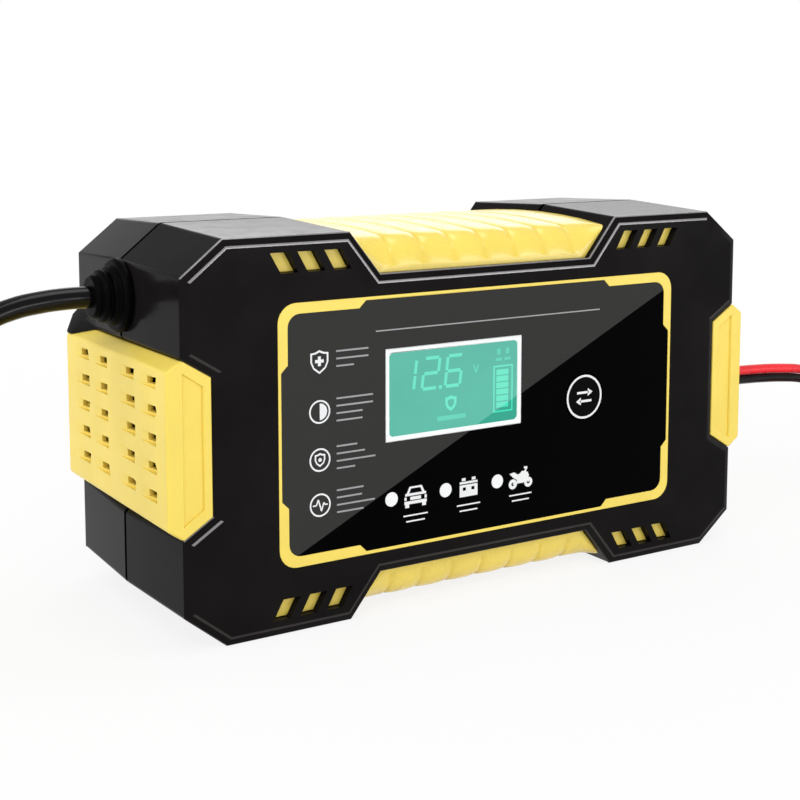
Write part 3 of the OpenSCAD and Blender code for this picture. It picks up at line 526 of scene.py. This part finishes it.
def make_paints():
    """The materials by slot.

    A plastic has its colour, roughness and specular level, then its grain's size and depth, and its mottle.
    """
    yellow = srgb(247, 220, 99)
    return {
        "shell": moulded("shell_black", srgb(23, 21, 21), 0.16, 0.03, 0.45, 0.002, 0.15),
        # Light grey with a strong gloss: a painted highlight on the rounded rims that face up
        "shell_rim_painted_highlight": moulded("shell_rim_painted_highlight", srgb(122, 119, 122), 0.25, 1.0, 0.45, 0.002, 0.1),
        # A dimmer painted highlight on the rounded rims that face down
        "shell_low_rim_painted_highlight": moulded("shell_low_rim_painted_highlight", srgb(54, 50, 49), 0.4, 0.1, 0.45, 0.002, 0.1),
        # Painted shade in the parting line between the two shells
        "shell_seam_painted_shade": moulded("shell_seam_painted_shade", srgb(3, 3, 3), 0.7, 0.0, 0.45, 0.002),
        "yellow_trim": moulded("trim_yellow", yellow, 0.36, 0.35, 0.6, 0.003, 0.03),
        "grip": moulded("grip_yellow", yellow, 0.26, 0.5, 0.6, 0.002, 0.03),
        "label_print": label_sheet("label_sheet"),
        "lcd_white": moulded("display_white", srgb(250, 253, 253), 0.45, 0.3, 0.5, 0.008, 0.02),
        "lcd_glass": glowing("display_teal", srgb(38, 164, 138), srgb(91, 188, 166)),
        "button": moulded("button_black", srgb(3, 3, 4), 0.3, 0.03, 0.5, 0.01),
        "lamp": moulded("lamp_lens", srgb(244, 246, 246), 0.25, 0.5, 1.0, 0.006, 0.02),
        "board": circuit_board("circuit_board"),
        "steel": metal("plated_steel", srgb(196, 198, 202), 0.32),
        "ferrite": moulded("ferrite", srgb(52, 52, 56), 0.7, 0.3, 0.4, 0.03),
        "winding": wound("winding_tape", srgb(224, 176, 52), 1.6),
        "capacitor": moulded("capacitor_sleeve", srgb(34, 48, 92), 0.3, 0.5, 0.8, 0.006),
        "copper_wire": wound("copper_wire", srgb(196, 112, 52), 1.1),
        "moulded_black": moulded("moulded_black", srgb(26, 25, 27), 0.45, 0.3, 0.5, 0.02),
        "aluminium": metal("aluminium", srgb(206, 208, 212), 0.38, (1, 8, 1)),
        "fuse_glass": clear("fuse_glass", srgb(222, 230, 230), 0.08),
        "ribbon": moulded("ribbon_cable", srgb(204, 204, 196), 0.5, 0.3, 0.7, 0.01),
        "boot": moulded("boot_rubber", srgb(6, 6, 6), 0.4, 0.02, 0.5, 0.02),
        "black_cord": cable_sheath("sheath_black", srgb(6, 6, 7), 0.18, 0.2),
        "red_cord": cable_sheath("sheath_red", srgb(244, 34, 46), 0.3, 0.5),
        "red_clip": moulded("clip_red", srgb(196, 22, 30), 0.4, 0.4, 0.6, 0.015),
        "black_clip": moulded("clip_black", srgb(24, 24, 26), 0.4, 0.3, 0.6, 0.015),
        "strap": moulded("strap_black", srgb(28, 28, 30), 0.6, 0.2, 0.8, 0.04),
        "copper": metal("coppered_teeth", srgb(206, 132, 84), 0.34),
        "nickel": metal("nickel_pins", srgb(214, 208, 196), 0.18),
        "ink": moulded("white_ink", srgb(236, 237, 238), 0.4, 0.3, 0.4, 0.003, 0.02),
        "grey_ink": moulded("grey_ink", srgb(158, 158, 160), 0.4, 0.3, 0.4, 0.003, 0.04),
        "segments": glowing("display_segments", srgb(58, 228, 188), srgb(112, 234, 202)),
        "faint_segments": glowing("display_faint_segments", srgb(44, 190, 160), srgb(102, 214, 187)),
    }


def dress_nodes(paint):
    for entry in frame["record"]["subparts"]:
        slots = nodes[entry["node"]].data.materials
        slots.clear()
        slots.append(paint[entry["material_slot"]])


# Rounded edges

# Bevel radius of the moulded and pressed pieces, in millimetres
EDGE_RADII = {
    "label_border": 0.12, "lcd_bezel": 0.2, "mode_button": 0.35, "corner_accents": 0.15,
    "mains_strain_relief": 0.25, "dc_grommet": 0.3, "mains_plug": 0.9, "mains_plug_pins": 0.6,
    "mains_tie": 0.25, "lead_tie": 0.25, "red_clip_fixed": 0.5, "red_clip_moving": 0.5,
    "black_clip_fixed": 0.5, "black_clip_moving": 0.5,
}
WELD_MM = 0.002
FLAT_ANGLE = math.radians(0.6)
BEVEL_ANGLE = math.radians(28)
BEVEL_STEPS = 2


def round_edges():
    for name, radius in EDGE_RADII.items():
        obj = nodes[name]
        weld = obj.modifiers.new("weld", "WELD")
        weld.merge_threshold = WELD_MM * MM
        flat = obj.modifiers.new("flat", "DECIMATE")
        flat.decimate_type = "DISSOLVE"
        flat.angle_limit = FLAT_ANGLE
        bevel = obj.modifiers.new("bevel", "BEVEL")
        bevel.width = radius * MM
        bevel.segments = BEVEL_STEPS
        bevel.limit_method = "ANGLE"
        bevel.angle_limit = BEVEL_ANGLE
        bevel.use_clamp_overlap = False
        bevel.miter_outer = "MITER_ARC"
        shade_by_area(obj)


def shade_by_area(obj):
    shade = obj.modifiers.new("shade", "WEIGHTED_NORMAL")
    shade.keep_sharp = True


# Mouldings, whose outer edges are rounded one by one

RIM_RADIUS = 0.3
WALL_RADIUS = 0.6
PANEL_RADIUS = 0.7
RECESS_RADIUS = 0.3
MOULDING_STEPS = 3
ROUND_PROFILE = 0.5
SHARP_ANGLE = 32
GRIP_SHARP_ANGLE = 55

# What tells the edges apart: places and lengths in millimetres, bends in degrees, and the share of a
# face's direction that points to the front or the rear
LONG_EDGE = 3
CASE_END = (71, 81.5)
CASE_BAND = 32
FAIRING_X = -79
FAIRING_Y = 17
FAIRING_Z = (61, 73)
SHELL_BEND = 12
SLOPED = 0.3
FLAT_ON = 0.98
PARTING_Y = 0.1
PANEL_X = 79.9
PANEL_BEND = 20
PANEL_LONG_EDGE = 9
RECESS_BEND = 60

# Rims that face up this much get a painted highlight as far as this x, and rims that face down as much get
# a dimmer painted highlight
LIT_SLOPE = 0.05
LIT_END = 66
# The shell's black, its rims' painted highlight, the parting line's painted shade, and the dimmer painted
# highlight of rims that face down
SHELL_PAINTS = ("shell", "shell_rim_painted_highlight", "shell_seam_painted_shade", "shell_low_rim_painted_highlight")
PLAIN, PAINTED_HIGHLIGHT, SEAM_PAINTED_SHADE, DIM_PAINTED_HIGHLIGHT = range(len(SHELL_PAINTS))


def is_convex(edge, least):
    return len(edge.link_faces) == 2 and edge.calc_face_angle_signed(0) > math.radians(least)


def is_outer(edge):
    """True for a long edge at the case's ends or in its top and bottom bands, off the boot's fairing."""
    middle = (edge.verts[0].co + edge.verts[1].co) / 2 / MM
    if middle.x < FAIRING_X and middle.y > FAIRING_Y and FAIRING_Z[0] < middle.z < FAIRING_Z[1]:
        return False
    at_end = CASE_END[0] < abs(middle.x) < CASE_END[1]
    return edge.calc_length() > LONG_EDGE * MM and (at_end or abs(middle.z - MID_Z) > CASE_BAND)


def facing(edge):
    return [abs(face.normal.y) for face in edge.link_faces]


def is_shell_edge(edge):
    return is_convex(edge, SHELL_BEND) and is_outer(edge)


def is_rim(edge):
    """An edge of the sloped band round the front or rear face."""
    return is_shell_edge(edge) and any(SLOPED < y < FLAT_ON for y in facing(edge))


def is_wall(edge):
    """An edge between two outer walls, or of the parting line."""
    if not is_shell_edge(edge) or any(face.material_index for face in edge.link_faces):
        return False
    at_parting = all(abs(vert.co.y) < PARTING_Y * MM for vert in edge.verts)
    return at_parting or all(y < SLOPED for y in facing(edge))


def is_panel_edge(edge):
    """A long outer edge of an end panel."""
    outer = all(abs(vert.co.x) > PANEL_X * MM for vert in edge.verts)
    is_long = edge.calc_length() > PANEL_LONG_EDGE * MM
    return outer and is_convex(edge, PANEL_BEND) and (is_long or max(facing(edge)) > FLAT_ON)


def is_recess_edge(edge):
    """The rim of the shallow recess in an end panel's front or rear face."""
    outer = any(abs(vert.co.x) > PANEL_X * MM for vert in edge.verts)
    return not outer and is_convex(edge, RECESS_BEND) and max(facing(edge)) > FLAT_ON


# Which edges of a piece are rounded, by what radius, and with which of its materials
SHELL_EDGES = ((is_rim, RIM_RADIUS, PAINTED_HIGHLIGHT), (is_wall, WALL_RADIUS, PLAIN))
PANEL_EDGES = ((is_panel_edge, PANEL_RADIUS, PLAIN), (is_recess_edge, RECESS_RADIUS, PLAIN))


def shell_material(face):
    """Painted shade in the parting line, a painted highlight on the rims that face up, a dimmer one on
    those that face down.
    """
    middle = face.calc_center_median() / MM
    # Painted shade on the faces of the parting line
    if abs(middle.y) < WALL_RADIUS:
        return SEAM_PAINTED_SHADE
    if face.material_index == PLAIN:
        return PLAIN
    if face.normal.z < -LIT_SLOPE:
        return DIM_PAINTED_HIGHLIGHT
    return PAINTED_HIGHLIGHT if face.normal.z > LIT_SLOPE and middle.x < LIT_END else PLAIN


def moulding(node, piece, materials, edges, sharp):
    """A smooth-shaded copy of a CAD node's mesh, with chosen edges rounded."""
    mesh = bmesh.new()
    mesh.from_mesh(nodes[node].data)
    bmesh.ops.remove_doubles(mesh, verts=mesh.verts, dist=WELD_MM * MM)
    if edges:
        bmesh.ops.dissolve_limit(mesh, angle_limit=FLAT_ANGLE, verts=mesh.verts, edges=mesh.edges)
    for chosen, radius, material in edges:
        mesh.normal_update()
        bmesh.ops.bevel(
            mesh, geom=[edge for edge in mesh.edges if chosen(edge)], offset=radius * MM,
            segments=MOULDING_STEPS, profile=ROUND_PROFILE, affect="EDGES", material=material,
        )
    mesh.normal_update()
    for face in mesh.faces:
        face.smooth = True
        # A shell's faces get painted shade in the parting line and painted highlights on its rims
        if len(materials) > 1:
            face.material_index = shell_material(face)
    for edge in mesh.edges:
        edge.smooth = edge.calc_face_angle(0) < math.radians(sharp)
    data = bpy.data.meshes.new(piece)
    mesh.to_mesh(data)
    mesh.free()
    for material in materials:
        data.materials.append(material)
    obj = add_object(piece, data)
    shade_by_area(obj)
    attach(obj, ROOT)
    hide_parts(node)


def add_mouldings(paint):
    shell = [paint[name] for name in SHELL_PAINTS]
    panel = [paint["yellow_trim"]]
    grip = [paint["grip"]]
    for side in ("front", "rear"):
        moulding(f"{side}_shell", f"{side}_shell_moulding", shell, SHELL_EDGES, SHARP_ANGLE)
    for side in ("left", "right"):
        name = f"{side}_panel_moulding"
        moulding(f"{side}_vent_panel", name, panel, PANEL_EDGES, SHARP_ANGLE)
    for side in ("top", "bottom"):
        moulding(f"{side}_grip", f"{side}_grip_moulding", grip, (), GRIP_SHARP_ANGLE)


# Printed front, drawn in X and Z millimetres

INK_LIFT = 0.03
INK_STEP = 0.001
DISC_POINTS = 24
CIRCLE_POINTS = 36


class Print:
    """Flat shapes of ink just in front of a plane that faces the front."""

    def __init__(self, plane_y):
        self.y = plane_y - INK_LIFT
        self.mesh = bmesh.new()

    def shape(self, points):
        corners = [self.mesh.verts.new((x * MM, self.y * MM, z * MM)) for x, z in points]
        face = self.mesh.faces.new(corners)
        face.normal_update()
        if face.normal.y > 0:
            face.normal_flip()

    def bar(self, start, end, width):
        """A straight stroke, a hair in front of what was drawn before it, so that crossings are clean."""
        self.y -= INK_STEP
        a, b = Vector(start), Vector(end)
        side = (b - a).normalized().orthogonal() * width / 2
        self.shape([a + side, b + side, b - side, a - side])

    def disc(self, centre, radius):
        self.shape(outline(centre, radius, DISC_POINTS))

    def ring(self, outer, inner):
        """Fills the band between two outlines with as many points each."""
        count = len(outer)
        for i in range(count):
            j = (i + 1) % count
            self.shape([outer[i], outer[j], inner[j], inner[i]])

    def circle(self, centre, radius, width):
        inner = radius - width
        self.ring(outline(centre, radius, CIRCLE_POINTS), outline(centre, inner, CIRCLE_POINTS))

    def finish(self, name, material, body):
        data = bpy.data.meshes.new(name)
        self.mesh.to_mesh(data)
        self.mesh.free()
        data.materials.append(material)
        obj = add_object(name, data)
        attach(obj, body)


def arc(centre, radius, start, end, count):
    points = []
    for i in range(count):
        angle = math.radians(start + (end - start) * i / (count - 1))
        points.append((centre[0] + radius * math.cos(angle), centre[1] + radius * math.sin(angle)))
    return points


def outline(centre, radius, count):
    """A full circle, without its first point repeated."""
    return arc(centre, radius, 0, 360 - 360 / count, count)


def placed(points, centre, size=1):
    return [(centre[0] + x * size, centre[1] + z * size) for x, z in points]


SHIELD = [
    (0, 1), (0.45, 0.82), (0.85, 0.78), (0.85, 0), (0.6, -0.55), (0, -1), (-0.6, -0.55), (-0.85, 0),
    (-0.85, 0.78), (-0.45, 0.82),
]

# The feature marks down the left side, in the rows of the label
FEATURE_X = -46.9
FEATURE_ROWS = (61.2, 49.9, 38.9, 28.5)
FEATURE_RADIUS = 2.7
FEATURE_LINE = 0.4
SHIELD_LINE = 0.5
CROSS = (((-1.1, 0.2), (1.1, 0.2)), ((0, -0.9), (0, 1.3)))
CROSS_LINE = 0.75
HALF_DISC_RADIUS = 1.9
HALF_DISC_POINTS = 16
INNER_SHIELD = 1.6
INNER_SHIELD_LINE = 0.45
INNER_DOT = 0.45
PULSE = [(-1.9, 0), (-1, 0), (-0.5, 1.3), (0.3, -1.4), (0.9, 0.5), (1.2, 0), (1.9, 0)]
PULSE_LINE = 0.35


def draw_shield(ink, centre, size, width):
    ink.ring(placed(SHIELD, centre, size), placed(SHIELD, centre, size - width))


def draw_features(ink):
    """A shield with a cross, and in rings a half disc, a shield with a dot and a pulse."""
    crossed, halved, dotted, pulsing = [(FEATURE_X, z) for z in FEATURE_ROWS]
    draw_shield(ink, crossed, FEATURE_RADIUS, SHIELD_LINE)
    for stroke in CROSS:
        ink.bar(*placed(stroke, crossed), CROSS_LINE)
    ink.circle(halved, FEATURE_RADIUS, FEATURE_LINE)
    ink.shape(arc(halved, HALF_DISC_RADIUS, -90, 90, HALF_DISC_POINTS))
    ink.circle(dotted, FEATURE_RADIUS, FEATURE_LINE)
    draw_shield(ink, dotted, INNER_SHIELD, INNER_SHIELD_LINE)
    ink.disc(dotted, INNER_DOT)
    ink.circle(pulsing, FEATURE_RADIUS, FEATURE_LINE)
    knots = placed(PULSE, pulsing)
    for a, b in zip(knots, knots[1:]):
        ink.bar(a, b, PULSE_LINE)


# Plain rules where a label carries its captions: the second row's height, and each row's length
RULE_LEFT = -42.6
RULE_PITCH = 1.7
RULE_LINE = 0.4
RULE_BLOCKS = {
    61.6: (8.4, 8.4, 4.6), 50.8: (9.6, 9.6, 6.8, 6.8), 39.8: (5.4, 7.4, 10.2, 4.8),
    29.6: (7, 6.6, 10, 7),
}
TITLE_RULE = ((-32.2, 66.9), (33.5, 66.9))
TITLE_LINE = 0.3


def draw_rules(ink):
    for height, lengths in RULE_BLOCKS.items():
        for row, length in enumerate(lengths):
            z = height + RULE_PITCH * (1 - row)
            ink.bar((RULE_LEFT, z), (RULE_LEFT + length, z), RULE_LINE)
    ink.bar(*TITLE_RULE, TITLE_LINE)


# The pictures beside the lamps. A block row has its lower and upper height, and where each block
# starts and ends beside the centre
CAR_ROOF = [(-2.5, 0.9), (-1.7, 2.5), (1.7, 2.5), (2.5, 0.9)]
CAR_WINDOW = [(-1.8, 0.9), (-1.3, 2.05), (1.3, 2.05), (1.8, 0.9)]
CAR_BLOCKS = (
    (0.3, 0.9, [(-2.9, 2.9)]),
    (-0.75, 0.05, [(-3.1, -2.5), (-1.5, 1.5), (2.5, 3.1)]),
    (-1.7, -0.95, [(-3.1, 3.1)]),
    (-2.5, -1.7, [(-2.9, -1.8), (1.8, 2.9)]),
)
BATTERY_BLOCKS = (
    (-2.4, -0.9, [(-2.6, 2.6)]),
    (-0.9, -0.1, [(-2.6, -1.7), (-0.8, 0.8), (1.7, 2.6)]),
    (-0.1, 0.5, [(-2.6, 2.6)]),
    (0.75, 1.3, [(-2.6, 2.6)]),
    (1.5, 2.2, [(-2, -0.9), (0.9, 2)]),
)
MOTORCYCLE_BODY = [
    (-3.4, 1.5), (-2, 1.75), (-0.9, 1.05), (-0.3, 1.2), (0.4, 1.8), (1.4, 1.65), (2.2, 1.2),
    (2.6, 0.4), (1.6, -0.2), (0.9, -1.2), (-0.9, -1.2), (-1.2, -0.2), (-2.2, 0.35),
]
MOTORCYCLE_STROKES = (
    ((1.9, 1.4), (2.4, -1.2)), ((-1, -0.9), (-2.3, -1.2)), ((1.3, 1.6), (1.9, 2.6)),
    ((2, 2.5), (1, 2.6)),
)
MOTORCYCLE_LINE = 0.5
WHEELS = ((-2.35, -1.2), (2.35, -1.2))
WHEEL_RADIUS = 1.25
WHEEL_LINE = 0.8
CAPTION_HALVES = (3.4, 2.6)
CAPTION_PITCH = 1.4
CAPTION_LINE = 0.35


def draw_blocks(ink, centre, rows):
    for low, high, spans in rows:
        for start, end in spans:
            ink.shape(placed([(start, low), (end, low), (end, high), (start, high)], centre))


def draw_car(ink, centre):
    for corners in zip(CAR_ROOF, CAR_ROOF[1:], CAR_WINDOW[1:], CAR_WINDOW):
        ink.shape(placed(corners, centre))
    draw_blocks(ink, centre, CAR_BLOCKS)


def draw_accumulator(ink, centre):
    draw_blocks(ink, centre, BATTERY_BLOCKS)


def draw_motorcycle(ink, centre):
    ink.shape(placed(MOTORCYCLE_BODY, centre))
    for stroke in MOTORCYCLE_STROKES:
        ink.bar(*placed(stroke, centre), MOTORCYCLE_LINE)
    for wheel in placed(WHEELS, centre):
        ink.circle(wheel, WHEEL_RADIUS, WHEEL_LINE)


# Each picture, its centre, and the height of the upper of two rules under it
LOADS = (
    (draw_car, (-21.4, 26.8), 22.4), (draw_accumulator, (-6.3, 27), 22.6),
    (draw_motorcycle, (9.2, 26.8), 22.8),
)


def draw_loads(ink):
    """A car, a battery and a motorcycle beside the three indicator lamps, each over two plain rules."""
    for draw, centre, _ in LOADS:
        draw(ink, centre)
    for _, centre, caption in LOADS:
        for row, half in enumerate(CAPTION_HALVES):
            z = caption - row * CAPTION_PITCH
            ink.bar((centre[0] - half, z), (centre[0] + half, z), CAPTION_LINE)


BUTTON_RING = 5.6
BUTTON_RING_LINE = 0.55
ARROW_SHAFT = ((-2.3, 1.1), (1.4, 1.1))
ARROW_HEAD = [(2.6, 1.1), (1.1, 2.1), (1.1, 0.1)]
ARROW_LINE = 0.6


def draw_button(ink):
    """A ring with two arrows that pass each other."""
    ink.circle(BUTTON_CENTRE, BUTTON_RING, BUTTON_RING_LINE)
    for side in (-1, 1):
        ink.bar(*placed(ARROW_SHAFT, BUTTON_CENTRE, side), ARROW_LINE)
        ink.shape(placed(ARROW_HEAD, BUTTON_CENTRE, side))


def add_label_print(paint):
    ink = Print(FRONT_Y)
    draw_features(ink)
    draw_loads(ink)
    ink.finish("label_marks", paint["ink"], ROOT)
    ink = Print(FRONT_Y)
    draw_rules(ink)
    ink.finish("label_rules", paint["grey_ink"], ROOT)
    ink = Print(BUTTON_Y)
    draw_button(ink)
    ink.finish("button_mark", paint["ink"], "mode_button")


# Display, drawn in X and Z millimetres

# Which of the seven strokes of a digit are lit: top, upper right, lower right, bottom, lower left,
# upper left, middle
DIGITS = {"1": (1, 2), "2": (0, 1, 6, 4, 3), "6": (0, 5, 4, 3, 2, 6)}
READING = "126"
DIGIT_PLACE = (-25.9, 52)
DIGIT_PITCH = 6.5
DIGIT_WIDTH = 4.2
DIGIT_HEIGHT = 7.2
DIGIT_LEAN = 0.9
STROKE_LINE = 0.8
STROKE_GAP = 0.25
POINT_X = DIGIT_PLACE[0] + 11.7
POINT_SIZE = 0.9
SHIELD_PLACE = (-11.2, 47.8)
SHIELD_SIZE = 1.9
SHIELD_BAND = 0.85
GAUGE_LEFT, GAUGE_RIGHT = 1.1, 6.9
GAUGE_BOTTOM, GAUGE_TOP = 44, 55.5
GAUGE_LINE = 0.4
GAUGE_BARS = 6
GAUGE_BAR_START = 1.8
GAUGE_BAR_PITCH = 1.6
GAUGE_BAR_LINE = 1.35
GAUGE_BAR_LEFT, GAUGE_BAR_RIGHT = GAUGE_LEFT + 0.9, GAUGE_RIGHT - 1.3
UNIT_X = -4
UNIT_HALF = 0.7
UNIT_TOP, UNIT_FOOT = 56.4, 54.4
UNIT_LINE = 0.45
TERMINAL_X = 4
TERMINAL_HALF = 1.3
TERMINAL_TOP, TERMINAL_FOOT = 59.6, 58.2
TERMINAL_LINE = 1
SIGN_Z = 57
SIGN_HALF = 0.9
SIGN_LINE = 0.7
STATE_BAR = ((-15.1, 44.4), (-6.9, 44.4))
STATE_LINE = 1.1
LCD_CORNER = 1.1
LCD_CORNER_POINTS = 7


def draw_digit(ink, digit, left):
    def at(x, z):
        return (left + x + DIGIT_LEAN * z / DIGIT_HEIGHT, DIGIT_PLACE[1] + z)
    width, height, gap = DIGIT_WIDTH, DIGIT_HEIGHT, STROKE_GAP
    half = height / 2
    strokes = [
        (at(gap, height), at(width - gap, height)), (at(width, height - gap), at(width, half + gap)),
        (at(width, half - gap), at(width, gap)), (at(gap, 0), at(width - gap, 0)),
        (at(0, half - gap), at(0, gap)), (at(0, height - gap), at(0, half + gap)),
        (at(gap, half), at(width - gap, half)),
    ]
    for stroke in DIGITS[digit]:
        ink.bar(*strokes[stroke], STROKE_LINE)


def draw_gauge(ink):
    """A charge gauge: an outline with a column of bars."""
    def box(inset):
        left, right = GAUGE_LEFT + inset, GAUGE_RIGHT - inset
        bottom, top = GAUGE_BOTTOM + inset, GAUGE_TOP - inset
        return [(left, bottom), (right, bottom), (right, top), (left, top)]
    ink.ring(box(0), box(GAUGE_LINE))
    for bar in range(GAUGE_BARS):
        z = GAUGE_BOTTOM + GAUGE_BAR_START + bar * GAUGE_BAR_PITCH
        ink.bar((GAUGE_BAR_LEFT, z), (GAUGE_BAR_RIGHT, z), GAUGE_BAR_LINE)


def draw_reading(ink):
    """Three digits with a point, a shield below them and the gauge at the right."""
    left, bottom = DIGIT_PLACE
    for place, digit in enumerate(READING):
        draw_digit(ink, digit, left + place * DIGIT_PITCH)
    ink.bar((POINT_X, bottom - POINT_SIZE / 2), (POINT_X, bottom + POINT_SIZE / 2), POINT_SIZE)
    draw_shield(ink, SHIELD_PLACE, SHIELD_SIZE, SHIELD_BAND)
    draw_gauge(ink)


def draw_faint_marks(ink):
    """The unit's mark, the gauge's terminals with their signs, and a plain bar under the shield."""
    for side in (-1, 1):
        ink.bar((UNIT_X + side * UNIT_HALF, UNIT_TOP), (UNIT_X, UNIT_FOOT), UNIT_LINE)
        x = TERMINAL_X + side * TERMINAL_HALF
        ink.bar((x, TERMINAL_TOP), (x, TERMINAL_FOOT), TERMINAL_LINE)
        ink.bar((x - SIGN_HALF, SIGN_Z), (x + SIGN_HALF, SIGN_Z), SIGN_LINE)
    ink.bar(*STATE_BAR, STATE_LINE)


def draw_corners(ink):
    """Fillets in the corners of the display's white frame."""
    for quarter, (right, up) in enumerate(((1, 1), (-1, 1), (-1, -1), (1, -1))):
        x = LCD_CENTRE[0] + right * LCD_INNER[0] / 2
        z = LCD_CENTRE[1] + up * LCD_INNER[1] / 2
        middle = (x - right * LCD_CORNER, z - up * LCD_CORNER)
        curve = arc(middle, LCD_CORNER, 90 * quarter, 90 * quarter + 90, LCD_CORNER_POINTS)
        for a, b in zip(curve, curve[1:]):
            ink.shape([(x, z), a, b])


def add_display(paint):
    ink = Print(LCD_Y)
    draw_reading(ink)
    ink.finish("display_segments", paint["segments"], ROOT)
    ink = Print(LCD_Y)
    draw_faint_marks(ink)
    ink.finish("display_faint_segments", paint["faint_segments"], ROOT)
    ink = Print(LCD_Y)
    draw_corners(ink)
    ink.finish("display_corners", paint["lcd_white"], ROOT)


# Studio, in metres and watts

FLOOR_HALF = 4
FLOOR_COLOUR = (0.92, 0.92, 0.92, 1)
# The floor is seen white, but less so near the object, where its shadow shows
FLOOR_NEAR, FLOOR_FAR = 0.1, 0.45
FLOOR_NEAR_SHARE = 0.85
# The world's light, and the height of a direction at which its reflections fade
WORLD_LIGHT = 0.55
WORLD_SEEN = 1.0
OVERHEAD_START, OVERHEAD_END = 0.1, 0.4
# Each softbox: its place, its width and height, and its power
LAMPS = {
    "key": ((-0.5, -0.55, 0.8), (0.7, 0.5), 3.1),
    "top": ((0.15, -0.05, 0.9), (0.5, 0.3), 1.5),
    "left": ((-0.9, 0.1, 0.35), (0.5, 0.5), 2.5),
    "back": ((0.6, 0.92, 0.55), (0.8, 0.55), 2.4),
    "front": ((0.5, -0.9, 0.12), (0.6, 0.2), 2.2),
}
LAMP_TARGET = (0, 0, 0.05)


def seen_directly(tree, reflected=1.0):
    """1 for rays from the camera and for refracted ones, a share for reflected ones, 0 for light."""
    path = tree.node("ShaderNodeLightPath")
    mirrored = tree.math("MULTIPLY", path.outputs["Is Glossy Ray"], reflected)
    seen = tree.math("MAXIMUM", path.outputs["Is Camera Ray"], mirrored)
    return tree.math("MAXIMUM", seen, path.outputs["Is Transmission Ray"])


def floor_material():
    material = bpy.data.materials.new("floor_white")
    material.use_nodes = True
    material.node_tree.nodes.clear()
    tree = Nodes(material.node_tree)
    matte = tree.node("ShaderNodeBsdfDiffuse")
    matte.inputs["Color"].default_value = FLOOR_COLOUR
    white = tree.node("ShaderNodeEmission")
    distance = tree.node("ShaderNodeVectorMath", operation="LENGTH")
    tree.link(tree.node("ShaderNodeTexCoord").outputs["Object"], distance.inputs[0])
    share = tree.remap(distance.outputs["Value"], FLOOR_NEAR, FLOOR_FAR, FLOOR_NEAR_SHARE, 1.0)
    mix = tree.node("ShaderNodeMixShader")
    tree.link(tree.math("MULTIPLY", seen_directly(tree), share), mix.inputs["Fac"])
    tree.link(matte.outputs["BSDF"], mix.inputs[1])
    tree.link(white.outputs["Emission"], mix.inputs[2])
    output = tree.node("ShaderNodeOutputMaterial")
    tree.link(mix.outputs["Shader"], output.inputs["Surface"])
    return material


def add_floor():
    mesh = bmesh.new()
    bmesh.ops.create_grid(mesh, x_segments=1, y_segments=1, size=FLOOR_HALF)
    data = bpy.data.meshes.new("floor")
    mesh.to_mesh(data)
    mesh.free()
    data.materials.append(floor_material())
    floor = add_object("floor", data)


def add_world():
    """Plain light from all round; seen white, also in reflections of what is not overhead."""
    world = bpy.data.worlds.new("studio")
    scene.world = world
    world.use_nodes = True
    tree = Nodes(world.node_tree)
    background = world.node_tree.nodes["Background"]
    background.inputs["Color"].default_value = (1, 1, 1, 1)
    parts = tree.node("ShaderNodeSeparateXYZ")
    tree.link(tree.node("ShaderNodeTexCoord").outputs["Generated"], parts.inputs["Vector"])
    beside = tree.remap(parts.outputs["Z"], OVERHEAD_START, OVERHEAD_END, 1.0, 0.0)
    strength = tree.remap(seen_directly(tree, beside), 0, 1, WORLD_LIGHT, WORLD_SEEN, "LINEAR")
    tree.link(strength, background.inputs["Strength"])


def add_softbox(name, place, size, watts):
    data = bpy.data.lights.new(name, "AREA")
    data.shape = "RECTANGLE"
    data.size, data.size_y = size
    data.energy = watts
    lamp = add_object(name, data)
    direction = Vector(LAMP_TARGET) - Vector(place)
    turn = direction.to_track_quat("-Z", "Y").to_matrix().to_4x4()
    lamp.matrix_world = Matrix.Translation(place) @ turn


def add_studio():
    add_floor()
    add_world()
    for name, lamp in LAMPS.items():
        add_softbox(name, *lamp)


def main():
    add_camera()
    paint = make_paints()
    add_leads(paint)
    dress_nodes(paint)
    round_edges()
    add_mouldings(paint)
    add_label_print(paint)
    add_display(paint)
    add_studio()


main()
